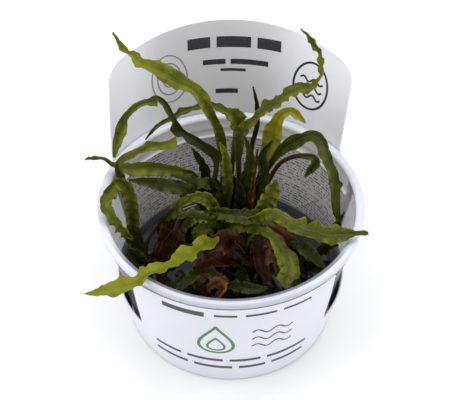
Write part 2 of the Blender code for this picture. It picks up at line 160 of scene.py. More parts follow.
LEAVES = {
    "leaf_upper_left": Leaf(
        FRESH, (FACE_FRONT, FACE_VIEWER, FACE_VIEWER),
        ((-5, 19, 18), (-3, 19, 56), (-3, 18, 67), (-5, 16, 79), (-8, 13, 90), (-12, 12, 98),
         (-19, 13, 103), (-25, 16, 105), (-33, 20, 108), (-39, 23, 110), (-41, 24, 116)),
        ((0.30, 1.8), (0.38, 3.4), (0.46, 4.0), (0.55, 3.2), (0.61, 1.8, 1.9), (0.66, 2.0, 2.9),
         (0.70, 1.1, 3.0), (0.73, 1.7, 3.0), (0.75, 2.9, 3.6), (0.80, 3.0, 3.3), (0.825, 2.0, 3.3),
         (0.85, 1.9, 2.1), (0.875, 3.2, 0.8), (0.89, 2.4, 1.8), (0.905, 0.9, 1.8), (0.918, 0.4, 0.9),
         (0.93, 0.5, 1.7), (0.945, 0.9, 1.9), (0.955, 0.2, 1.8), (0.975, 0.1, 1.1), (1.0, 0.6, 0.2)),
        (0.25, 0.55, 0.85), 0.1, (0.5, 5.6, 0.12)),
    "leaf_left_arch": Leaf(
        DARK, (FACE_FRONT, FACE_VIEWER, FACE_VIEWER),
        ((-5, 11, 18), (-7, 13, 45), (-6, 13, 68), (-12, 12, 75), (-17, 12, 80), (-20, 11, 87),
         (-23, 10, 96), (-26, 9, 100), (-29, 8, 99), (-33, 7, 97), (-38, 5, 92), (-41, 3, 84),
         (-42, 1, 78)),
        ((0.36, 2.0), (0.44, 4.0), (0.50, 1.8, 1.5), (0.53, 2.4, 1.3), (0.555, 1.6, 0.9),
         (0.575, 3.2, 0.8), (0.605, 3.4, 0.8), (0.625, 1.4, 0.6), (0.65, 1.7, 0.4), (0.675, 2.1, 0.2),
         (0.72, 1.9, 0.2), (0.745, 2.0, 0.1), (0.757, 3.8, 0.1), (0.77, 2.6, 0.4), (0.785, 1.3, 0.9),
         (0.825, 1.2, 1.2), (0.86, 1.3, 1.2), (0.885, 2.6, 1.3), (0.90, 3.2, 1.2), (0.925, 2.5, 1.1),
         (0.95, 2.2, 1.0), (0.975, 1.3, 0.9), (1.0, 0.5, 0.6)),
        (0.2, 0.25, 0.85), 0.2, (0.5, 5.4, 0.08)),
    "leaf_back_arch": Leaf(
        DARK, (FACE_FRONT, FACE_VIEWER, FACE_VIEWER),
        ((-1, 20, 18), (1, 25, 55), (3, 25, 66), (2, 24, 77), (-3, 23, 82), (-8, 22, 86),
         (-14, 21, 85), (-20, 20, 82), (-25, 18, 80), (-28, 17, 78), (-32, 16, 73)),
        ((0.36, 2.0), (0.46, 2.4, 2.0), (0.525, 2.2, 1.7), (0.55, 3.4, 2.3), (0.575, 4.4, 3.2),
         (0.6, 3.4, 2.6), (0.625, 3.1, 1.4), (0.65, 2.1, 0.8), (0.675, 1.8, 1.5), (0.7, 2.1, 0.4),
         (0.725, 2.3, 0.2), (0.75, 2.3, 0.2), (0.775, 1.8, 0.2), (0.8, 1.7, 0.7),
         (0.825, 1.5, 1.8), (0.85, 1.5, 0.7), (0.875, 1.3, 0.6), (0.9, 1.0, 0.7),
         (0.95, 0.8, 0.6), (1.0, 0.3, 0.3)),
        (0.4, 0.90, 0.65), 0.2, (1.2, 4.6, 0.30)),
    "leaf_left_long": Leaf(
        FRESH, (FACE_FRONT, FACE_VIEWER, FACE_UP),
        ((-9, 16, 18), (-12, 16, 40), (-14, 16, 53), (-19, 15, 58), (-28, 14, 61), (-40, 14, 60),
         (-45, 14, 62), (-48, 14, 65), (-55, 14, 65)),
        ((0.30, 1.8), (0.42, 3.6), (0.50, 2.2, 1.4), (0.56, 3.2, 1.2), (0.63, 3.7, 1.2),
         (0.71, 3.8, 1.8), (0.77, 3.2, 1.9), (0.82, 2.0, 1.6), (0.87, 1.0, 1.0), (0.91, 0.9, 0.8),
         (0.935, 0.7, 0.6), (0.955, 0.9, 1.2), (0.98, 0.6, 0.9), (1.0, 0.3, 0.3)),
        (0.3, 0.68, 0.45), 0.2, (0.7, 5.4, 0.10)),
    "leaf_left_under": Leaf(
        DARK, (FACE_FRONT, FACE_VIEWER, FACE_VIEWER),
        ((-9, 12, 18), (-11, 10, 44), (-17, 9, 53), (-26, 8, 57), (-33, 7, 60), (-38, 6, 62)),
        ((0.38, 1.8), (0.55, 4.2), (0.70, 5.6), (0.80, 5.2), (0.91, 3.2), (1.0, 0.8)),
        (0.2, 0.5, 0.45), 0.2, (1.0, 4.8, 0.20)),
    "leaf_front_left": Leaf(
        FRESH, (FACE_LEFT, FACE_UP, FACE_UP),
        ((-3, 2, 18), (-6, -8, 44), (-10, -16, 50), (-17, -27, 54), (-24, -34, 58.5),
         (-32, -41, 60.5), (-41, -45, 60), (-50, -46, 59)),
        ((0.26, 1.8), (0.30, 3.6), (0.36, 6.2), (0.42, 3.8, 3.2), (0.455, 1.6, 3.4),
         (0.475, 0.9, 2.2), (0.50, 1.0, 2.8), (0.525, 2.5, 4.8), (0.55, 2.5, 4.7), (0.575, 1.3, 4.2),
         (0.60, 1.1, 3.3), (0.62, 2.4, 2.1), (0.65, 2.6, 1.6), (0.675, 3.0, 1.5), (0.70, 3.3, 2.0),
         (0.725, 2.6, 3.2), (0.75, 1.7, 3.5), (0.765, 2.2, 3.0), (0.78, 2.9, 1.6), (0.80, 3.3, 1.0),
         (0.825, 3.4, 2.1), (0.85, 3.5, 3.1), (0.875, 3.3, 2.4), (0.90, 3.2, 2.4), (0.925, 1.9, 2.0),
         (0.95, 1.5, 1.1), (0.975, 1.0, 0.6), (1.0, 0.2, 0.2)),
        (0.6, 0.95, 1.05), 0.1, (0.9, 8.0, 0.10)),
    "leaf_right_over_rim": Leaf(
        FRESH, (FACE_RIGHT, FACE_VIEWER, FACE_UP),
        ((5, 3, 18), (6, -2, 47), (10, -6, 54), (15, -9, 59), (21, -13, 60), (27, -17, 60),
         (33, -19, 60), (38, -20, 60), (45, -20, 61), (49, -19, 60)),
        ((0.28, 1.8), (0.42, 2.2), (0.48, 3.2), (0.54, 2.2, 2.2), (0.575, 2.2, 2.6),
         (0.60, 1.7, 2.9), (0.65, 1.2, 3.3), (0.675, 1.7, 4.0), (0.70, 3.5, 4.0), (0.723, 1.9, 3.3),
         (0.75, 3.2, 3.7), (0.775, 3.8, 3.4), (0.80, 2.1, 4.2), (0.825, 2.5, 4.3), (0.85, 3.6, 4.3),
         (0.875, 3.3, 3.2), (0.90, 2.3, 2.4), (0.92, 1.6, 1.7), (0.945, 0.9, 0.9), (0.96, 0.8, 0.8),
         (0.98, 1.1, 1.1), (1.0, 0.6, 0.6)),
        (0.4, 0.55, 0.50), 0.3, (0.9, 4.8, 0.16)),
    "leaf_front_right": Leaf(
        FRESH, (FACE_RIGHT, FACE_UP, FACE_VIEWER),
        ((4, 0, 18), (8, -5, 42), (12, -9, 50), (17, -14, 50), (20, -20, 48), (21, -25, 46),
         (20, -31, 43)),
        ((0.34, 1.8), (0.5, 1.6, 1.8), (0.58, 1.4, 2.0), (0.65, 1.5, 2.4), (0.7, 1.7, 3.0),
         (0.75, 1.6, 3.5), (0.775, 2.6, 3.6), (0.8, 3.8, 3.7), (0.85, 4.1, 3.6),
         (0.875, 4.2, 3.2), (0.9, 4.2, 3.0), (0.925, 4.2, 4.0), (0.95, 2.2, 4.3),
         (0.975, 1.2, 2.2), (1.0, 0.4, 0.4)),
        (0.3, 0.50, 0.62), 0.1, (1.0, 4.6, 0.20)),
    "leaf_upper_right": Leaf(
        FRESH, (FACE_FRONT, FACE_VIEWER, FACE_LEFT),
        ((5, 20, 18), (3, 17, 66), (4, 16, 76), (8, 16, 83), (12, 18, 86), (20, 20, 91),
         (25, 20, 95), (29, 20, 96), (32, 20, 100), (32, 22, 106), (29, 24, 112), (24, 26, 116)),
        ((0.36, 2.2), (0.44, 3.6), (0.52, 4.4), (0.575, 1.0, 2.0), (0.6, 1.4, 2.0),
         (0.625, 3.0, 2.5), (0.65, 1.6, 3.1), (0.675, 1.6, 2.6), (0.7, 2.2, 2.3),
         (0.725, 2.3, 2.7), (0.75, 1.2, 3.5), (0.775, 0.6, 3.5), (0.79, 0.6, 2.4),
         (0.805, 0.7, 1.1), (0.825, 0.9, 0.9), (0.85, 1.8, 1.0), (0.875, 1.9, 1.3),
         (0.9, 1.0, 1.0), (0.925, 2.3, 1.2), (0.95, 1.9, 0.9), (0.975, 0.5, 0.6), (1.0, 0.2, 0.2)),
        (0.1, 0.5, 0.70), 0.1, (1.0, 4.2, 0.20)),
    "leaf_spike": Leaf(
        DARK, (FACE_FRONT, FACE_FRONT, FACE_FRONT),
        ((8, 21, 18), (8, 25, 60), (10, 26, 72), (10, 26, 81), (8, 26, 90)),
        ((0.4, 1.5), (0.7, 2.0), (0.85, 1.8), (0.93, 1.2), (1.0, 0.5)),
        (0.2, 0.3, 0.1), 0.6, (0.3, 5.0, 0.10)),
    "leaf_yellow": Leaf(
        YELLOW, (FACE_FRONT, FACE_VIEWER, FACE_VIEWER),
        ((12, 19, 18), (14, 23, 53), (16, 24, 62), (17, 24, 72), (19, 23, 79), (22, 23, 81),
         (25, 23, 79), (28, 22, 76)),
        ((0.4, 2.0), (0.5, 2.6, 2.2), (0.6, 4.0, 2.6), (0.7, 4.3, 3.0), (0.76, 3.6, 2.6),
         (0.8, 2.4, 2.2), (0.86, 1.8, 1.8), (0.89, 1.4, 1.4), (0.93, 1.5, 1.9), (0.97, 0.9, 0.9),
         (1.0, 0.4, 0.4)),
        (0.6, 0.90, 0.75), 0.4, (0.5, 6.0, 0.10)),
    "leaf_right_arch": Leaf(
        FRESH, (FACE_FRONT, FACE_VIEWER, FACE_VIEWER),
        ((12, 14, 18), (9, 16, 43), (14, 18, 55), (17, 19, 61), (21, 19, 66), (26, 18, 71),
         (30, 17, 74), (34, 14, 74), (36, 11, 71), (38, 6, 65), (40, 2, 58), (41, -1, 52),
         (41, -2, 47)),
        ((0.36, 1.8), (0.44, 2.6), (0.50, 2.6, 1.6), (0.55, 3.0, 2.6), (0.575, 2.6, 2.6),
         (0.60, 1.6, 2.2), (0.65, 2.0, 2.6), (0.675, 1.4, 3.2), (0.70, 0.8, 3.8), (0.725, 0.6, 4.0),
         (0.75, 0.8, 3.2), (0.80, 1.5, 2.5), (0.83, 1.5, 2.7), (0.848, 2.6, 2.8), (0.865, 1.0, 2.6),
         (0.90, 0.6, 2.9), (0.95, 0.3, 2.6), (1.0, 0.6, 1.0)),
        (0.05, 0.28, 0.30), 1.0, (0.5, 5.2, 0.08)),
    "leaf_left_loop": Leaf(
        DARK, (FACE_FRONT, FACE_VIEWER, FACE_VIEWER),
        ((-37, 4, 18), (-38, 3, 30), (-38, 2, 45), (-38, 3, 56), (-39, 3, 63), (-42, 2, 66),
         (-45, -1, 65), (-47, -5, 63), (-46, -9, 62), (-43, -11, 60.5), (-39, -12, 55),
         (-36, -11.5, 48)),
        ((0.2, 2.2, 2.2), (0.34, 2.6, 2.6), (0.44, 2.8, 2.6), (0.52, 2.6, 2.2), (0.58, 3.4, 1.2),
         (0.63, 4.4, 0.6), (0.7, 4.8, 0.5), (0.75, 3.9, 0.7), (0.79, 3.3, 1.4), (0.815, 2.0, 2.4),
         (0.84, 1.0, 3.2), (0.865, 0.8, 2.6), (0.89, 0.5, 3.8), (0.915, 0.6, 2.6),
         (0.94, 0.5, 3.4), (0.97, 0.5, 1.8), (1.0, 0.3, 0.4)),
        (0.55, 0.85, 0.95), 0.1, (1.2, 4.4, 0.30)),
    "leaf_left_inward": Leaf(
        FRESH, (FACE_FRONT, FACE_VIEWER, FACE_VIEWER),
        ((-35, 9, 18), (-40, 10, 46), (-41, 10, 56), (-41, 8, 69), (-35, 8, 73), (-28, 8, 77),
         (-24, 8, 79), (-20, 9, 80)),
        ((0.26, 2.4), (0.45, 3.0), (0.60, 3.0), (0.70, 1.4, 1.4), (0.75, 1.9, 1.4), (0.80, 1.7, 0.9),
         (0.835, 1.7, 1.0), (0.86, 2.6, 1.2), (0.90, 1.5, 1.9), (0.93, 0.7, 2.5), (0.96, 0.3, 3.0),
         (0.985, 0.6, 3.0), (1.0, 0.9, 1.6)),
        (0.3, 0.40, 0.75), 0.1, (0.4, 4.8, 0.08)),
    "leaf_left_slant": Leaf(
        DARK, (FACE_FRONT, FACE_FRONT, FACE_UP),
        ((-34, 1, 18), (-33, 3, 30), (-28, 4, 39), (-21, 5, 47), (-16, 4, 52), (-11, 3, 55)),
        ((0.42, 0.8, 0.8), (0.56, 1.1, 1.4), (0.66, 1.4, 2.6), (0.76, 2.0, 2.4), (0.86, 2.4, 2.2),
         (0.94, 1.8, 1.6), (1.0, 0.6, 0.6)),
        (0.5, 0.55, 0.80), 0.2, (0.7, 4.4, 0.20)),
    "leaf_right_wall": Leaf(
        DARK, (FACE_FRONT, FACE_LEFT, FACE_LEFT),
        ((34, 3, 18), (38, 4, 28), (41.5, 4, 38), (43.3, 3, 47)),
        ((0.4, 1.8), (0.62, 4.2), (0.8, 3.6), (1.0, 0.9)),
        (0.2, 0.25, 0.2), 0.3, (0.5, 5.0, 0.20)),
    "leaf_right_small": Leaf(
        DARK, (FACE_FRONT, FACE_VIEWER, FACE_FRONT),
        ((12, 11, 18), (12, 12, 46), (16, 14, 57), (19, 14, 63), (23.5, 12.5, 67.5),
         (27.5, 10.5, 70), (30.3, 9.5, 70.5), (31.6, 9.5, 67.5), (30.2, 11, 63), (28, 12, 57.5)),
        ((0.70, 1.7), (0.78, 2.4), (0.86, 3.4), (0.92, 3.0), (0.97, 1.6), (1.0, 0.6)),
        (0.1, 0.5, 0.65), 1.0, (0.3, 4.0, 0.10)),
    "leaf_right_frill": Leaf(
        FRESH, (FACE_FRONT, FACE_VIEWER, FACE_VIEWER),
        ((5, 7, 18), (11, 3, 45), (14, 3, 54), (17, 5, 62)),
        ((0.42, 1.8), (0.58, 4.2), (0.7, 6.0), (0.82, 7.2), (0.92, 6.2), (1.0, 2.4)),
        (0.3, 0.60, 0.60), 0.2, (1.4, 3.4, 0.45)),
    "leaf_centre_left": Leaf(
        FRESH, (FACE_FRONT, FACE_VIEWER, FACE_VIEWER),
        ((-2, 7, 18), (-1, 9, 44), (-1, 8, 60), (-2, 9, 72), (-4, 9, 78)),
        ((0.45, 1.8), (0.65, 4.0), (0.8, 4.0), (0.92, 2.4), (1.0, 0.8)),
        (0.0, 0.22, 0.80), 0.1, (0.6, 4.6, 0.20)),
    "leaf_centre": Leaf(
        DARK, (FACE_FRONT, FACE_FRONT, FACE_FRONT),
        ((2, 8, 18), (5, 10, 46), (6, 9, 60), (7, 9, 71), (5, 9, 80)),
        ((0.4, 1.8), (0.62, 4.6), (0.8, 4.4), (0.92, 2.4), (1.0, 0.8)),
        (0.1, 0.3, 0.4), 0.2, (0.6, 5.0, 0.25)),
    "leaf_centre_right": Leaf(
        DARK, (FACE_FRONT, FACE_VIEWER, FACE_FRONT),
        ((5, 9, 18), (9, 9, 45), (12, 11, 59), (12, 11, 70), (15, 11, 77)),
        ((0.4, 1.8), (0.62, 4.6), (0.8, 4.2), (0.92, 2.4), (1.0, 0.8)),
        (0.1, 0.25, 0.4), 0.8, (0.6, 5.0, 0.25)),
    "leaf_short_left": Leaf(
        DARK, (FACE_FRONT, FACE_UP, FACE_UP),
        ((-4, 6, 18), (-5, 0, 42), (-9, -4, 51), (-15, -5, 55), (-20, -7, 54)),
        ((0.45, 1.8), (0.6, 1.8, 1.4), (0.75, 2.2, 1.6), (0.86, 1.8, 1.8), (0.94, 1.2, 1.4),
         (1.0, 0.4, 0.4)),
        (0.1, 0.35, 0.50), 0.2, (1.1, 3.6, 0.35)),
    "leaf_inner_back": Leaf(
        DARK, (FACE_FRONT, FACE_FRONT, FACE_VIEWER),
        ((-8, 19, 18), (-9, 21, 38), (-10, 22, 52), (-15, 23, 62)),
        ((0.3, 1.8), (0.55, 4.8), (0.75, 4.6), (0.9, 2.8), (1.0, 0.8)),
        (0.1, 0.2, 0.3), 0.2, (0.5, 5.0, 0.35)),
    "leaf_inner_left": Leaf(
        DARK, (FACE_FRONT, FACE_VIEWER, FACE_UP),
        ((-7, 9, 18), (-9, 7, 31), (-11, 3, 41), (-13, 1, 46)),
        ((0.25, 1.8), (0.5, 4.6), (0.75, 4.6), (0.9, 2.8), (1.0, 0.8)),
        (0.1, 0.25, 0.3), 0.2, (0.6, 4.0, 0.35)),
    "leaf_inner_tall_left": Leaf(
        DARK, (FACE_FRONT, FACE_FRONT, FACE_VIEWER),
        ((2, 14, 18), (0, 14, 36), (-1, 14, 50), (-3, 13, 62)),
        ((0.2, 1.8), (0.45, 5.0), (0.7, 4.8), (0.9, 2.8), (1.0, 0.8)),
        (0.1, 0.25, 0.35), 0.3, (0.5, 5.0, 0.35)),
    "leaf_inner_tall_right": Leaf(
        DARK, (FACE_FRONT, FACE_FRONT, FACE_VIEWER),
        ((6, 13, 18), (5, 13, 36), (6, 13, 50), (8, 13, 62)),
        ((0.2, 1.8), (0.45, 4.4), (0.7, 4.2), (0.9, 2.6), (1.0, 0.8)),
        (0.1, 0.25, 0.35), 0.7, (0.5, 5.0, 0.35)),
    "leaf_inner_right": Leaf(
        DARK, (FACE_FRONT, FACE_VIEWER, FACE_UP),
        ((9, 4, 18), (16, 2, 31), (22, -2, 38), (26, -6, 40)),
        ((0.3, 1.8), (0.55, 4.8), (0.75, 4.6), (0.9, 2.8), (1.0, 0.8)),
        (0.1, 0.3, 0.4), 0.3, (0.6, 4.0, 0.35)),
    "leaf_low_left": Leaf(
        DARK, (FACE_UP, FACE_UP, FACE_UP),
        ((-10, -16, 19), (-9, -15, 31), (-12, -18, 36), (-16, -23, 38), (-20, -28, 38)),
        ((0.3, 1.8), (0.55, 5.0), (0.75, 4.8), (0.9, 3.0), (1.0, 0.8)),
        (0.2, 0.4, 0.4), 0.3, (0.7, 4.0, 0.35)),
    "leaf_low_right": Leaf(
        DARK, (FACE_FRONT, FACE_UP, FACE_UP),
        ((28, 4, 18), (26, -4, 36), (30, -13, 41), (35, -21, 42)),
        ((0.3, 1.8), (0.55, 5.0), (0.75, 5.6), (0.9, 3.6), (1.0, 0.8)),
        (0.2, 0.35, 0.4), 0.2, (0.7, 5.0, 0.35)),
    "leaf_low_front": Leaf(
        DARK, (FACE_UP, FACE_UP, FACE_UP),
        ((-4, -18, 19), (-1, -19, 30), (4, -22, 33), (9, -23, 33), (14, -22, 32)),
        ((0.3, 1.8), (0.55, 4.6), (0.75, 4.6), (0.9, 2.8), (1.0, 0.8)),
        (0.2, 0.35, 0.4), 0.3, (0.7, 4.0, 0.35)),
    "old_leaf_left": Leaf(
        OLD, (FACE_FRONT, FACE_VIEWER, FACE_VIEWER),
        ((-10, 8, 19), (-16, 5, 34), (-21, -1, 37), (-25, -7, 32), (-28, -12, 22)),
        ((0.2, 1.8), (0.4, 6.6), (0.6, 7.8), (0.85, 6.0), (1.0, 1.4)),
        (0.1, 0.25, 0.15), 1.0, (0.4, 7.0, 0.12)),
    "old_leaf_front": Leaf(
        OLD, (FACE_FRONT, FACE_UP, FACE_UP),
        ((-1, -1, 19), (1, -7, 31), (-3, -13, 37), (-8, -16, 40), (-14, -19, 40)),
        ((0.25, 1.8), (0.45, 7.0), (0.7, 8.4), (0.88, 6.0), (1.0, 1.4)),
        (0.1, 0.60, 0.35), 1.0, (0.8, 6.0, 0.20)),
    "old_leaf_middle": Leaf(
        OLD, (FACE_FRONT, FACE_VIEWER, FACE_UP),
        ((2, 0, 19), (1, -4, 36), (0, -10, 43), (4, -15, 42), (8, -17, 38)),
        ((0.35, 1.8), (0.55, 4.6), (0.75, 5.2), (0.9, 3.4), (1.0, 1.0)),
        (0.0, 0.0, 0.0), 1.0, (0.6, 5.0, 0.20)),
    "old_leaf_right": Leaf(
        OLD, (FACE_FRONT, FACE_VIEWER, FACE_UP),
        ((7, 1, 19), (12, -2, 34), (12, -9, 37), (12, -16, 36), (14, -20, 34)),
        ((0.25, 1.8), (0.45, 6.0), (0.7, 7.0), (0.88, 5.0), (1.0, 1.4)),
        (0.2, 0.6, 0.35), 1.0, (0.7, 6.0, 0.20)),
    "old_leaf_curl": Leaf(
        OLD, (FACE_UP, FACE_UP, FACE_UP),
        ((-8, -22, 19), (-8, -22, 32), (-5, -23, 37), (-3, -27, 38), (-6, -30, 36)),
        ((0.35, 1.8), (0.55, 4.0), (0.75, 4.4), (0.9, 3.0), (1.0, 1.0)),
        (0.3, 0.9, 0.5), 0.9, (0.6, 4.0, 0.30)),
}

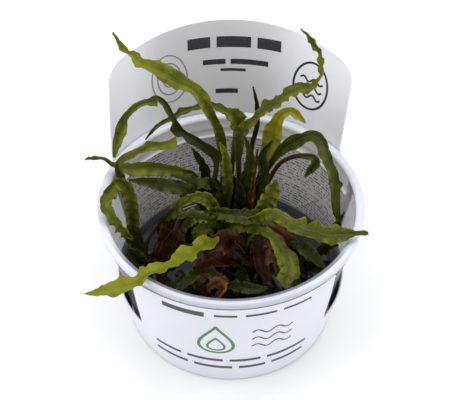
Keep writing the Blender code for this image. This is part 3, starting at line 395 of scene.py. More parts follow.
# Small inner and dead leaves that have no CAD node; each grows from one of the crowns too
SMALL_LEAVES = {
    "inner_across": Leaf(
        FRESH, (FACE_FRONT, FACE_VIEWER, FACE_VIEWER),
        ((-5, 14, 19), (-8, 10, 33), (-9.5, 5.2, 44), (-3.3, 0.1, 50), (5.3, -2.4, 51),
         (12.9, -3.1, 49.5), (17.5, -2.8, 47)),
        ((0.3, 1.8), (0.48, 1.8, 2.2), (0.6, 2.8, 2.2), (0.7, 2.2, 3.0), (0.8, 3.0, 3.4),
         (0.88, 2.4, 2.6), (0.94, 1.8, 2.0), (1.0, 0.6, 0.6)),
        (0.1, 0.22, 0.30), 0.1, (1.0, 4.2, 0.30)),
    "inner_left_high": Leaf(
        DARK, (FACE_FRONT, FACE_VIEWER, FACE_UP),
        ((-5, 16, 19), (-6.5, 14, 47), (-9.5, 10.6, 55), (-14.9, 10.9, 53), (-19.6, 10.4, 48)),
        ((0.40, 1.8), (0.62, 5.4), (0.80, 5.6), (0.92, 3.6), (1.0, 1.0)),
        (0.1, 0.35, 0.6), 0.2, (0.8, 4.4, 0.35)),
    "inner_left_low": Leaf(
        DARK, (FACE_FRONT, FACE_VIEWER, FACE_UP),
        ((-6, 14, 19), (-7.3, 12, 44.7), (-11, 11.4, 52), (-17.8, 10.8, 58), (-22.4, 12.4, 58)),
        ((0.40, 1.8), (0.60, 5.0), (0.80, 5.4), (0.92, 3.6), (1.0, 1.0)),
        (0.05, 0.25, 0.45), 0.2, (0.8, 4.8, 0.35)),
    "inner_dark_middle": Leaf(
        DARK, (FACE_FRONT, FACE_FRONT, FACE_VIEWER),
        ((7, 18, 19), (3, 15, 34), (0.5, 13, 43.7), (2, 12, 53), (-0.3, 12, 60)),
        ((0.3, 1.8), (0.55, 5.2), (0.75, 5.0), (0.9, 3.0), (1.0, 0.8)),
        (0.0, 0.1, 0.25), 0.3, (0.6, 4.6, 0.35)),
    "inner_dark_right": Leaf(
        DARK, (FACE_FRONT, FACE_FRONT, FACE_VIEWER),
        ((7, 16, 19), (5, 12, 34), (3.6, 8, 46.1), (3.9, 8, 53.3), (1.9, 8, 59.7)),
        ((0.3, 1.8), (0.55, 4.8), (0.75, 4.6), (0.9, 2.8), (1.0, 0.8)),
        (0.0, 0.05, 0.2), 0.5, (0.6, 5.0, 0.35)),
    "inner_dark_left": Leaf(
        DARK, (FACE_FRONT, FACE_FRONT, FACE_VIEWER),
        ((-4, 14, 19), (-3, 11, 34), (-3.4, 9, 45), (-3.3, 9, 53.3), (-6, 9, 59.8)),
        ((0.3, 1.8), (0.55, 5.0), (0.75, 5.0), (0.9, 3.0), (1.0, 0.8)),
        (0.0, 0.2, 0.35), 0.3, (0.6, 4.2, 0.35)),
    "stalk_tan": Leaf(
        FADED, (FACE_FRONT, FACE_FRONT, FACE_FRONT),
        ((8, 16, 19), (7, 9, 38), (7.5, 8, 46.1), (8.1, 9, 56), (9, 10, 65.6), (10, 11, 72.4)),
        ((0.3, 1.8), (0.6, 2.6), (0.85, 2.0), (1.0, 0.8)),
        (0.2, 0.5, 0.4), 0.6, (0.3, 6.0, 0.35)),
    "stalk_red": Leaf(
        OLD, (FACE_FRONT, FACE_FRONT, FACE_FRONT),
        ((9, 16, 19), (9, 10, 38), (9.8, 9, 46.7), (10.3, 10, 56.6), (11.6, 11, 66.2)),
        ((0.3, 1.8), (0.6, 2.4), (0.85, 1.8), (1.0, 0.8)),
        (0.2, 0.45, 0.35), 0.4, (0.3, 6.0, 0.35)),
    "inner_shade_left": Leaf(
        DARK, (FACE_FRONT, FACE_VIEWER, FACE_VIEWER),
        ((0, 5, 19), (-3, 6, 30), (-5.7, 6.2, 36), (-11.1, 5.2, 40), (-15.8, 3.7, 37),
         (-18.3, 2.3, 31)),
        ((0.25, 1.8), (0.45, 5.6), (0.70, 7.0), (0.90, 4.6), (1.0, 1.2)),
        (0.0, 0.25, 0.2), 0.4, (0.9, 5.0, 0.35)),
    "inner_frill": Leaf(
        FRESH, (FACE_FRONT, FACE_VIEWER, FACE_VIEWER),
        ((0, 4, 19), (-3, 3, 32), (-2.6, 1.5, 40), (3.5, -0.6, 44), (10.4, -2.6, 44),
         (14.6, -3.5, 41)),
        ((0.30, 1.8), (0.48, 3.8), (0.66, 6.0), (0.86, 5.6), (0.94, 3.6), (1.0, 1.2)),
        (0.1, 0.45, 0.7), 0.3, (1.2, 3.2, 0.45)),
    "shade_right_high": Leaf(
        DARK, (FACE_FRONT, FACE_VIEWER, FACE_UP),
        ((9, 16, 19), (17, 6, 27), (21, -2, 33), (25, -4, 31), (27, -9, 26)),
        ((0.3, 1.8), (0.55, 5.4), (0.75, 5.4), (0.9, 3.4), (1.0, 1.0)),
        (0.0, 0.15, 0.2), 0.3, (0.8, 4.4, 0.35)),
    "shade_right_low": Leaf(
        DARK, (FACE_FRONT, FACE_UP, FACE_UP),
        ((2, 3, 19), (9, -3, 25), (17, -10, 28), (23, -14, 28), (28, -15, 26)),
        ((0.3, 1.8), (0.55, 4.8), (0.75, 5.0), (0.9, 3.2), (1.0, 1.0)),
        (0.0, 0.2, 0.3), 0.3, (0.8, 4.0, 0.35)),
    "shade_right_wall": Leaf(
        DARK, (FACE_FRONT, FACE_VIEWER, FACE_UP),
        ((31, 4, 19), (29, -1, 29), (31, -8, 34), (34, -13, 37)),
        ((0.25, 1.8), (0.5, 4.6), (0.75, 4.8), (0.9, 3.0), (1.0, 1.0)),
        (0.0, 0.2, 0.35), 0.3, (0.7, 4.4, 0.35)),
    "shade_front": Leaf(
        DARK, (FACE_FRONT, FACE_UP, FACE_UP),
        ((1, 2, 19), (5, -6, 24), (4, -14, 28), (7, -19, 29), (12, -20, 27)),
        ((0.3, 1.8), (0.55, 4.8), (0.75, 5.0), (0.9, 3.2), (1.0, 1.0)),
        (0.0, 0.15, 0.3), 0.3, (0.8, 4.0, 0.35)),
    "shade_front_left": Leaf(
        DARK, (FACE_FRONT, FACE_UP, FACE_UP),
        ((-7, -17, 19), (-11, -15, 25), (-16, -15, 29), (-20, -17, 29), (-23, -20, 26)),
        ((0.3, 1.8), (0.55, 4.8), (0.75, 5.0), (0.9, 3.2), (1.0, 1.0)),
        (0.1, 0.3, 0.4), 0.3, (0.8, 4.0, 0.35)),
    "frill_left_high": Leaf(
        FRESH, (FACE_FRONT, FACE_VIEWER, FACE_UP),
        ((-6, 12, 19), (-6, 8, 38), (-6.5, 5, 48), (-9.6, 4, 54), (-13.8, 4, 54.5), (-17.6, 4, 51)),
        ((0.50, 1.6), (0.64, 4.4), (0.80, 5.2), (0.92, 3.6), (1.0, 1.0)),
        (0.1, 0.5, 0.7), 0.1, (1.2, 3.2, 0.30)),
    "frill_left_middle": Leaf(
        FRESH, (FACE_FRONT, FACE_VIEWER, FACE_VIEWER),
        ((-5, 12, 19), (-5, 6, 34), (-5.6, 3, 43), (-9.4, 2, 46), (-14.0, 2, 45), (-16.8, 1.4, 40)),
        ((0.46, 1.6), (0.60, 4.0), (0.76, 5.0), (0.90, 3.8), (1.0, 1.0)),
        (0.1, 0.3, 0.5), 0.2, (1.3, 3.0, 0.32)),
    "frill_left_low": Leaf(
        DARK, (FACE_FRONT, FACE_VIEWER, FACE_VIEWER),
        ((-2, 5, 19), (-2.6, 3, 30), (-4.2, 0, 39), (-8.0, -1.4, 43), (-12.2, -1, 41), (-14.6, -1, 36)),
        ((0.40, 1.6), (0.56, 4.4), (0.74, 5.4), (0.90, 3.8), (1.0, 1.0)),
        (0.1, 0.4, 0.7), 0.2, (1.3, 3.2, 0.32)),
    "fill_left_back": Leaf(
        DARK, (FACE_FRONT, FACE_VIEWER, FACE_VIEWER),
        ((-34, 5, 19), (-36, 2.5, 27), (-39, 1, 35), (-41, -2.4, 43)),
        ((0.10, 1.8), (0.34, 4.0), (0.60, 4.6), (0.84, 3.2), (1.0, 0.8)),
        (0.3, 0.4, 0.5), 0.2, (0.8, 4.2, 0.25)),
    "fill_left_front": Leaf(
        DARK, (FACE_FRONT, FACE_VIEWER, FACE_VIEWER),
        ((-32, 3, 19), (-34, -5, 28), (-36.6, -8, 36), (-38.4, -12.6, 44)),
        ((0.14, 1.8), (0.38, 4.6), (0.64, 5.0), (0.86, 3.4), (1.0, 0.8)),
        (0.2, 0.35, 0.45), 0.2, (0.9, 4.4, 0.25)),
    "fill_right_back": Leaf(
        DARK, (FACE_FRONT, FACE_VIEWER, FACE_VIEWER),
        ((32, 4, 19), (34.4, -0.3, 28), (38, -4.4, 36), (40.4, -10, 43)),
        ((0.14, 1.8), (0.38, 4.4), (0.64, 4.8), (0.86, 3.2), (1.0, 0.8)),
        (0.1, 0.3, 0.5), 0.3, (0.8, 4.4, 0.25)),
    "fill_right_front": Leaf(
        DARK, (FACE_FRONT, FACE_VIEWER, FACE_VIEWER),
        ((30, 3, 19), (31.6, -6, 27), (35, -12.3, 34), (37.4, -16.2, 41)),
        ((0.18, 1.8), (0.42, 4.6), (0.66, 5.0), (0.86, 3.4), (1.0, 0.8)),
        (0.1, 0.25, 0.4), 0.3, (0.9, 4.0, 0.25)),
    "old_strip_left": Leaf(
        OLD, (FACE_FRONT, FACE_VIEWER, FACE_FRONT),
        ((-31, 5, 19), (-27, 7, 31), (-23.5, 6, 38.5), (-23, 1, 40), (-24.8, -3, 35),
         (-27, -4.5, 25)),
        ((0.20, 2.0), (0.40, 6.4), (0.60, 8.0), (0.85, 7.6), (1.0, 3.0)),
        (0.2, 0.3, 0.25), 1.0, (0.5, 7.0, 0.06)),
    "old_strip_pale": Leaf(
        FADED, (FACE_FRONT, FACE_VIEWER, FACE_FRONT),
        ((-6, 14, 19), (-12, 10, 34), (-17.5, 6, 41), (-20, 0, 39), (-20.8, -3.8, 32),
         (-22.2, -4.8, 26)),
        ((0.30, 2.0), (0.50, 4.2), (0.75, 5.2), (0.9, 4.2), (1.0, 1.6)),
        (0.0, 0.2, 0.3), 1.0, (0.6, 5.0, 0.10)),
    "old_crumple": Leaf(
        OLD, (FACE_FRONT, FACE_VIEWER, FACE_UP),
        ((1, 3, 19), (3.2, -1.0, 27), (2.4, -3.2, 35), (-1.8, -4.8, 40), (-6.0, -7.1, 38),
         (-10.3, -8.7, 33)),
        ((0.20, 2.0), (0.40, 6.4), (0.60, 9.0), (0.80, 9.0), (0.93, 6.0), (1.0, 2.0)),
        (0.1, 0.80, 0.45), 1.0, (1.2, 6.0, 0.15)),
    "old_curl_right": Leaf(
        FADED, (FACE_FRONT, FACE_VIEWER, FACE_VIEWER),
        ((2, 2, 19), (9, -3, 26), (10.2, -5.8, 35), (11.9, -4.7, 40), (16.5, -5.3, 39),
         (18.9, -7.6, 34), (18.2, -11.5, 28)),
        ((0.20, 2.0), (0.40, 5.0), (0.60, 6.4), (0.80, 6.4), (0.93, 4.6), (1.0, 1.6)),
        (0.1, 0.35, 0.45), 1.0, (1.0, 5.0, 0.20)),
    "old_curl_low": Leaf(
        FADED, (FACE_FRONT, FACE_VIEWER, FACE_UP),
        ((-8, -18, 19), (-11.6, -17.5, 26), (-12.4, -17.5, 31), (-9, -16, 34), (-4.1, -19.1, 33),
         (-1.1, -16.5, 31)),
        ((0.20, 2.0), (0.40, 4.0), (0.60, 5.2), (0.80, 5.2), (0.93, 3.6), (1.0, 1.4)),
        (0.2, 0.6, 0.75), 1.0, (1.0, 4.0, 0.20)),
    "old_curl_back": Leaf(
        OLD, (FACE_FRONT, FACE_VIEWER, FACE_UP),
        ((9, 16, 19), (12, 5, 27), (14.5, -0.8, 35), (16.2, -1.5, 42), (20, -3, 41),
         (22.5, -4.4, 35)),
        ((0.30, 2.0), (0.50, 4.2), (0.75, 5.4), (0.9, 4.4), (1.0, 1.6)),
        (0.1, 0.4, 0.85), 1.0, (0.9, 4.6, 0.20)),
}

# How crumpled a blade of each tone is, in millimetres
CRUMPLE = {FRESH: 0.20, DARK: 0.25, YELLOW: 0.20, OLD: 0.90, FADED: 0.90}


# Node helpers


def feed(tree, socket, value):
    """Links a socket to a Field, or else sets it to that number or colour."""
    if isinstance(value, Field):
        tree.links.new(value.socket, socket)
    else:
        socket.default_value = value


def math_node(tree, operation, first, second=0.0):
    """The result of a Math node."""
    node = tree.nodes.new("ShaderNodeMath")
    node.operation = operation
    feed(tree, node.inputs[0], first)
    feed(tree, node.inputs[1], second)
    return Field(tree, node.outputs[0])


class Field:
    """What a node gives, such as a value or a colour; a sum or product of them is a Math node."""

    def __init__(self, tree, socket):
        self.tree = tree
        self.socket = socket

    def __add__(self, other):
        return math_node(self.tree, "ADD", self, other)

    def __sub__(self, other):
        return math_node(self.tree, "SUBTRACT", self, other)

    def __rsub__(self, other):
        return math_node(self.tree, "SUBTRACT", other, self)

    def __mul__(self, other):
        return math_node(self.tree, "MULTIPLY", self, other)

    def __truediv__(self, other):
        return math_node(self.tree, "DIVIDE", self, other)

    def __pow__(self, other):
        return math_node(self.tree, "POWER", self, other)

    def __abs__(self):
        return math_node(self.tree, "ABSOLUTE", self)

    def math(self, operation):
        """The result of a Math node that takes one value, such as its sine."""
        return math_node(self.tree, operation, self)

    def rise(self, low, high):
        """0 where the value is low and 1 where it is high, smooth between; low may be the larger."""
        node = self.tree.nodes.new("ShaderNodeMapRange")
        node.interpolation_type = "SMOOTHSTEP"
        ends = (low, high, 0.0, 1.0) if low <= high else (high, low, 1.0, 0.0)
        for socket, value in zip(node.inputs[:5], (self, *ends)):
            feed(self.tree, socket, value)
        return Field(self.tree, node.outputs[0])


class Look:
    """A node material in the making, whose methods add nodes and give what comes out of them."""

    def __init__(self, name):
        self.material = bpy.data.materials.new(name)
        self.material.use_nodes = True
        self.tree = self.material.node_tree
        self.shader = self.tree.nodes["Principled BSDF"]
        self.place = self.node("TexCoord", "Object")

    def node(self, kind, output, **inputs):
        """One output of a new node with those inputs."""
        node = self.tree.nodes.new("ShaderNode" + kind)
        for name, value in inputs.items():
            feed(self.tree, node.inputs[name], value)
        return Field(self.tree, node.outputs[output])

    def noise(self, scale, detail=3.0, roughness=0.55, vector=None):
        """Smooth noise of about 0.5 on average; scale is in features per metre."""
        return self.node("TexNoise", "Fac", Vector=vector or self.place, Scale=scale,
                         Detail=detail, Roughness=roughness)

    def chance(self, x, y):
        """A random value from 0 to 1 for each pair of numbers."""
        return self.node("TexWhiteNoise", "Value", Vector=self.vector(x, y))

    def vector(self, x, y, z=0.0):
        """A vector of three values."""
        return self.node("CombineXYZ", 0, X=x, Y=y, Z=z)

    def split(self, vector):
        """The x, y and z of a vector."""
        node = self.tree.nodes.new("ShaderNodeSeparateXYZ")
        feed(self.tree, node.inputs[0], vector)
        return [Field(self.tree, output) for output in node.outputs]

    def flat(self):
        """The piece's own flat coordinates, as x and y."""
        node = self.tree.nodes.new("ShaderNodeUVMap")
        node.uv_map = "flat"
        return self.split(Field(self.tree, node.outputs[0]))[:2]

    def point_value(self, name):
        """A value that the mesh holds for each of its points."""
        node = self.tree.nodes.new("ShaderNodeAttribute")
        node.attribute_name = name
        return Field(self.tree, node.outputs["Fac"])

    def mix(self, factor, first, second):
        """The colour first where factor is 0, and second where it is 1."""
        node = self.tree.nodes.new("ShaderNodeMix")
        node.data_type = "RGBA"
        for index, value in ((0, factor), (6, first), (7, second)):
            if isinstance(value, tuple):
                value = (*value, 1.0)
            feed(self.tree, node.inputs[index], value)
        return Field(self.tree, node.outputs[2])

    def ramp(self, factor, *stops):
        """A colour ramp of (place, colour) stops."""
        node = self.tree.nodes.new("ShaderNodeValToRGB")
        feed(self.tree, node.inputs[0], factor)
        elements = node.color_ramp.elements
        while len(elements) < len(stops):
            elements.new(0.5)
        for element, (place, colour) in zip(elements, stops):
            element.position = place
            element.color = (*colour, 1.0)
        return Field(self.tree, node.outputs[0])

    def paint(self, colour, rough):
        """Sets the shader's colour and roughness."""
        feed(self.tree, self.shader.inputs["Base Color"], colour)
        feed(self.tree, self.shader.inputs["Roughness"], rough)

    def emboss(self, height, strength, depth):
        """Bends the shader's normal by a height of up to depth millimetres."""
        normal = self.node("Bump", 0, Strength=strength, Distance=depth * MM, Height=height)
        feed(self.tree, self.shader.inputs["Normal"], normal)


# Materials

# base, middle and bright colour of a blade, its midrib, its edge and its stalk, all linear
LeafPaint = namedtuple("LeafPaint", "deep middle bright rib edge stalk ruddy_stalk")

LEAF_PAINTS = {
    FRESH: LeafPaint(
        (0.012, 0.016, 0.001), (0.068, 0.080, 0.003), (0.226, 0.242, 0.012),
        (0.150, 0.165, 0.020), (0.260, 0.280, 0.060), (0.070, 0.078, 0.010),
        (0.026, 0.007, 0.005)),
    DARK: LeafPaint(
        (0.006, 0.009, 0.001), (0.037, 0.046, 0.003), (0.146, 0.164, 0.009),
        (0.060, 0.068, 0.008), (0.140, 0.165, 0.034), (0.046, 0.054, 0.010),
        (0.034, 0.010, 0.006)),
    YELLOW: LeafPaint(
        (0.060, 0.054, 0.003), (0.200, 0.180, 0.008), (0.420, 0.390, 0.030),
        (0.190, 0.130, 0.010), (0.360, 0.350, 0.070), (0.080, 0.070, 0.010),
        (0.050, 0.018, 0.008)),
    OLD: LeafPaint(
        (0.006, 0.002, 0.001), (0.036, 0.011, 0.004), (0.210, 0.088, 0.040),
        (0.030, 0.009, 0.003), (0.190, 0.084, 0.036), (0.034, 0.015, 0.006),
        (0.012, 0.004, 0.004)),
    FADED: LeafPaint(
        (0.009, 0.006, 0.001), (0.070, 0.045, 0.010), (0.330, 0.215, 0.090),
        (0.040, 0.022, 0.006), (0.260, 0.180, 0.090), (0.060, 0.040, 0.014),
        (0.050, 0.020, 0.010)),
}

WET_SHINE = 0.17
DEAD_SHINE = 0.07
LIGHT_THROUGH = 0.12


def leaf_colour(look, paint, across, along):
    """Colour of a leaf: lengthwise bands of painted light and shade along the blade, painted shade by
    the midrib, a paler edge that is partly painted light, midrib, veins and stalk.
    """
    side = abs(across - 0.5)
    # Lengthwise bands of painted light and shade, besides random patches and specks of tone
    painted_band_place = look.vector(across * 2.6, along * 0.8, look.point_value("drift"))
    light = look.point_value("light")
    for field, gain in (
            (look.noise(210.0, 4.0), 0.70),
            (look.noise(1.0, 2.0, vector=painted_band_place), 0.80),
            (look.noise(1300.0, 2.0), 0.25)):
        light = light + (field - 0.5) * gain
    # Painted shade in the groove beside the midrib
    painted_groove_shade = side.rise(0.24, 0.0) * 0.14
    # Painted light at the thin margin, where light shows through it
    margin_painted_light = side.rise(0.30, 0.48) * 0.10
    blade = look.ramp(light - painted_groove_shade + margin_painted_light,
                      (0.0, paint.deep), (0.5, paint.middle), (1.0, paint.bright))
    grown = look.point_value("grown")
    blade = look.mix(side.rise(0.04, 0.01) * (grown * 0.35), blade, paint.rib)
    blade = look.mix(vein_lines(side, along) * 0.05, blade, paint.edge)
    # Paler edge strip: partly the leaf's own colour, partly painted light through the thin edge
    blade = look.mix(side.rise(0.44, 0.5) * 0.25, blade, paint.edge)
    stalk = look.mix(look.point_value("ruddy"), paint.stalk, paint.ruddy_stalk)
    return look.mix((1.0 - grown) * 0.9, blade, stalk)


def vein_lines(side, along):
    """Fine side veins that slant from the midrib towards the tip."""
    slant = along * 6.5 - side * 4.0
    return (slant * (2.0 * math.pi)).math("SINE").rise(0.35, 1.0)


def leaf_material(tone):
    """Moist crinkled leaf of one tone, a little of whose light comes through it."""
    look = Look(tone)
    across, along = look.flat()
    colour = leaf_colour(look, LEAF_PAINTS[tone], across, along)
    look.paint(colour, look.noise(420.0) * 0.40 + 0.14)
    cells = look.node("TexVoronoi", "Distance", Vector=look.place, Scale=520.0)
    relief = cells * 0.4 + look.noise(1700.0) * 0.5
    look.emboss(relief - vein_lines(abs(across - 0.5), along) * 0.3, 0.6, 0.25)
    shine = DEAD_SHINE if tone == OLD else WET_SHINE
    look.shader.inputs["Specular IOR Level"].default_value = shine
    nodes, links = look.tree.nodes, look.tree.links
    through = nodes.new("ShaderNodeBsdfTranslucent")
    feed(look.tree, through.inputs["Color"], colour)
    blend = nodes.new("ShaderNodeMixShader")
    blend.inputs[0].default_value = LIGHT_THROUGH
    links.new(look.shader.outputs[0], blend.inputs[1])
    links.new(through.outputs[0], blend.inputs[2])
    links.new(blend.outputs[0], nodes["Material Output"].inputs["Surface"])
    return look.material


def crown_material():
    """Olive rootstock with brown sheaths and fine ribs."""
    look = Look("crown")
    patches = look.noise(500.0, 4.0)
    colour = look.ramp(patches, (0.25, (0.014, 0.008, 0.004)), (0.5, (0.045, 0.038, 0.012)),
                       (0.75, (0.11, 0.10, 0.04)))
    look.paint(colour, patches * 0.3 + 0.3)
    look.emboss(look.noise(1800.0), 0.5, 0.2)
    return look.material


def root_material():
    """Thin brown roots, paler in places."""
    look = Look("root_fibre")
    colour = look.ramp(look.noise(350.0), (0.3, (0.012, 0.008, 0.005)),
                       (0.55, (0.055, 0.042, 0.026)), (0.8, (0.15, 0.13, 0.09)))
    look.paint(colour, look.noise(900.0) * 0.3 + 0.35)
    look.emboss(look.noise(3000.0), 0.4, 0.1)
    return look.material


def gel_material():
    """Wet gel with faint clouds: slate blue near the wall at the sides and back, and dark elsewhere as
    painted shade under the plants and at the front.
    """
    look = Look("gel")
    clouds = look.noise(90.0, 5.0)
    slate = look.ramp(clouds, (0.3, (0.016, 0.019, 0.027)), (0.55, (0.034, 0.038, 0.052)),
                      (0.8, (0.060, 0.064, 0.076)))
    x, y, _ = look.split(look.place)
    # Painted shade: the gel is dark except near the wall at the sides and back
    ragged = (x * x + y * y) ** 0.5 + clouds * (14.0 * MM)
    outside_painted_shade = ragged.rise(35.0 * MM, 43.0 * MM) * y.rise(-24.0 * MM, -8.0 * MM)
    look.paint(look.mix(outside_painted_shade, (0.009, 0.006, 0.004), slate), clouds * 0.18 + 0.06)
    look.emboss(look.noise(260.0, 4.0), 0.25, 0.4)
    look.shader.inputs["Coat Weight"].default_value = 0.3
    look.shader.inputs["Coat Roughness"].default_value = 0.08
    return look.material


def scrap_material():
    """Wet brown and olive crumbs of dead leaf."""
    look = Look("scraps")
    patches = look.noise(300.0, 4.0)
    colour = look.ramp(patches, (0.3, (0.006, 0.004, 0.002)), (0.5, (0.030, 0.018, 0.006)),
                       (0.75, (0.100, 0.055, 0.022)))
    look.paint(colour, patches * 0.4 + 0.2)
    look.emboss(look.noise(1500.0), 0.7, 0.25)
    return look.material


def clear_plastic_material(name, alpha, pale, deep):
    """Thin moulded wall with a little haze: clear, or dark grey where it stands for painted shade."""
    look = Look(name)
    haze = look.noise(60.0)
    look.paint(look.ramp(haze, (0.3, deep), (0.7, pale)), haze * 0.14 + 0.04)
    look.shader.inputs["Alpha"].default_value = alpha
    return look.material


def milky_plastic_material(name, alpha, pale, deep, front, front_shade_start):
    """Thicker plastic that looks milky, with fine turned lines, and darker at its front with painted
    shade.
    """
    look = Look(name)
    _, y, height = look.split(look.place)
    lines = look.noise(2600.0, 2.0, vector=look.vector(0.0, 0.0, height))
    haze = look.noise(70.0)
    colour = look.ramp(haze * 0.6 + lines * 0.4, (0.3, deep), (0.7, pale))
    # Painted shade: the plastic darkens towards the front
    painted_front_shade = y.rise(front_shade_start * MM, (front_shade_start - FRONT_SHADE_DEPTH) * MM)
    look.paint(look.mix(painted_front_shade, colour, front), haze * 0.2 + 0.2)
    look.emboss(lines, 0.2, 0.1)
    look.shader.inputs["Alpha"].default_value = alpha
    return look.material


def card_fibres(look):
    """Fine uneven fibres of a card's surface, which lie level."""
    x, y, z = look.split(look.place)
    return look.noise(2400.0, 4.0, 0.6, vector=look.vector(x * 0.4, y * 0.4, z))


def card_outside_material():
    """Coated white card with a faint cool tint."""
    look = Look("card")
    fibres = card_fibres(look)
    shade = fibres * 0.5 + look.noise(50.0, 2.0) * 0.5
    colour = look.ramp(shade, (0.3, (0.71, 0.72, 0.78)), (0.7, (0.78, 0.79, 0.86)))
    look.paint(colour, fibres * 0.16 + 0.34)
    look.emboss(fibres, 0.12, 0.05)
    return look.material


def print_rows(look, along, height):
    """Rows of small dashes of uneven length, which stand for fine print and say nothing."""
    row = (height / PRINT_ROW).math("FLOOR")
    in_row = (height / PRINT_ROW).math("FRACT")
    line = in_row.rise(0.18, 0.30) * in_row.rise(0.82, 0.70)
    words = look.noise(0.42, 1.0, vector=look.vector(along, row * 7.3)).rise(0.40, 0.46)
    strokes = look.chance((along * 2.3).math("FLOOR"), row).rise(0.15, 0.55)
    kept = look.chance(row, 3.0).rise(0.06, 0.10)
    return line * (words * strokes) * kept


def printed_area(along, height):
    """1 in the middle of the card's inner side where its fine print is, and 0 outside it."""
    area = height.rise(PRINT_TOP, PRINT_TOP - 0.5) * height.rise(PRINT_BOTTOM, PRINT_BOTTOM + 0.5)
    for end, past in ((PRINT_LEFT, PRINT_LEFT + 1.0), (PRINT_RIGHT, PRINT_RIGHT - 1.0)):
        area = area * along.rise(end, past)
    return area


def card_inside_material():
    """The card's inner side: grey that pales to its ends and, low down, towards the right, both as
    painted light, with fine print low at the back.
    """
    look = Look("card_inside")
    along, height = look.flat()
    fibres = card_fibres(look)
    shade = fibres * 0.4 + look.noise(40.0, 2.0) * 0.6
    grey = look.ramp(shade, (0.3, (0.60, 0.60, 0.61)), (0.7, (0.70, 0.70, 0.71)))
    white = look.ramp(shade, (0.3, (0.86, 0.86, 0.90)), (0.7, (0.94, 0.94, 0.98)))
    # Painted light: the header's middle stays grey and its ends turn white
    painted_light_paper = look.mix(abs(along + 6.0).rise(14.0, 38.0), grey, white)
    # Painted light: low down, the paper pales from left to right
    low_painted_light_paper = look.mix(along.rise(-20.0, 20.0), (0.78, 0.75, 0.72), (0.95, 0.92, 0.88))
    painted_light_paper = look.mix(height.rise(50.0, 44.0), painted_light_paper, low_painted_light_paper)
    ink = print_rows(look, along, height) * printed_area(along, height) * 0.88
    colour = look.mix(ink, painted_light_paper, (0.09, 0.085, 0.09))
    below = height.rise(PRINT_BOTTOM + 1.0, PRINT_BOTTOM - 1.0)
    look.paint(look.mix(below, colour, (0.060, 0.075, 0.11)), fibres * 0.2 + 0.45)
    look.emboss(fibres, 0.2, 0.06)
    return look.material


def ink_material(name, deep, pale):
    """Flat printing ink that lies a little unevenly."""
    look = Look(name)
    uneven = look.noise(1500.0)
    look.paint(look.ramp(uneven, (0.3, deep), (0.75, pale)), uneven * 0.2 + 0.35)
    look.emboss(uneven, 0.1, 0.03)
    return look.material


def floor_material():
    """Pale, plain floor."""
    look = Look("floor")
    cloud = look.noise(3.0, 2.0)
    look.paint(look.ramp(cloud, (0.2, (0.93, 0.93, 0.93)), (0.8, (0.96, 0.96, 0.96))), 0.8)
    return look.material


# Mesh helpers


def add_piece(name, points, faces, materials, smooth=True):
    """A mesh object of points in millimetres."""
    mesh = bpy.data.meshes.new(name)
    mesh.from_pydata([Vector(p) * MM for p in points], [], faces)
    for material in materials:
        mesh.materials.append(material)
    mesh.polygons.foreach_set("use_smooth", [smooth] * len(mesh.polygons))
    piece = bpy.data.objects.new(name, mesh)
    bpy.context.scene.collection.objects.link(piece)
    return piece


def set_flat_map(piece, flat):
    """Gives each point its flat coordinates, in a map named flat."""
    mesh = piece.data
    layer = mesh.uv_layers.new(name="flat")
    values = []
    for loop in mesh.loops:
        values.extend(flat[loop.vertex_index])
    layer.data.foreach_set("uv", values)


def set_point_values(piece, name, values):
    """Gives each point a value that a material reads."""
    layer = piece.data.attributes.new(name, "FLOAT", "POINT")
    layer.data.foreach_set("value", values)


def stands_for(piece, node):
    """The piece takes the place of a CAD node and rides with it."""
    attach(piece, BODY)
    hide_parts(node)


def extra_piece(piece):
    """The piece is detail that has no CAD node of its own."""
    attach(piece, BODY)


def turned(name, profile, materials, steps):
    """Turns a closed profile of (radius, height, material index) points round the Z axis.

    The profile's first and last points are on the axis. Each index is for the band from its
    point to the next.
    """
    points = [(0.0, 0.0, profile[0][1])]
    rings = []
    for radius, height, _ in profile[1:-1]:
        rings.append(len(points))
        for i in range(steps):
            turn = 2.0 * math.pi * i / steps
            points.append((radius * math.cos(turn), radius * math.sin(turn), height))
    points.append((0.0, 0.0, profile[-1][1]))
    last = len(points) - 1
    faces = []
    kinds = []
    for i in range(steps):
        j = (i + 1) % steps
        faces.append((0, rings[0] + i, rings[0] + j))
        kinds.append(profile[0][2])
        for k in range(len(rings) - 1):
            a, b = rings[k], rings[k + 1]
            faces.append((a + j, a + i, b + i, b + j))
            kinds.append(profile[k + 1][2])
        faces.append((last, rings[-1] + j, rings[-1] + i))
        kinds.append(profile[-2][2])
    piece = add_piece(name, points, faces, materials)
    piece.data.polygons.foreach_set("material_index", kinds)
    return piece


def smooth_route(points, spacing=0.5):
    """Points about spacing apart on a centripetal curve through the route's own points."""
    route = [Vector(p) for p in points]
    route = [2.0 * route[0] - route[1], *route, 2.0 * route[-1] - route[-2]]
    curve = [route[1]]
    for a, b, c, d in zip(route, route[1:], route[2:], route[3:]):
        steps = max(2, round((c - b).length / spacing))
        t0, t1 = 0.0, math.sqrt((b - a).length)
        t2 = t1 + math.sqrt((c - b).length)
        t3 = t2 + math.sqrt((d - c).length)
        for i in range(1, steps + 1):
            t = t1 + (t2 - t1) * i / steps
            ab = a.lerp(b, (t - t0) / (t1 - t0))
            bc = b.lerp(c, (t - t1) / (t2 - t1))
            cd = c.lerp(d, (t - t2) / (t3 - t2))
            abc = ab.lerp(bc, (t - t0) / (t2 - t0))
            bcd = bc.lerp(cd, (t - t1) / (t3 - t1))
            curve.append(abc.lerp(bcd, (t - t1) / (t2 - t1)))
    return curve


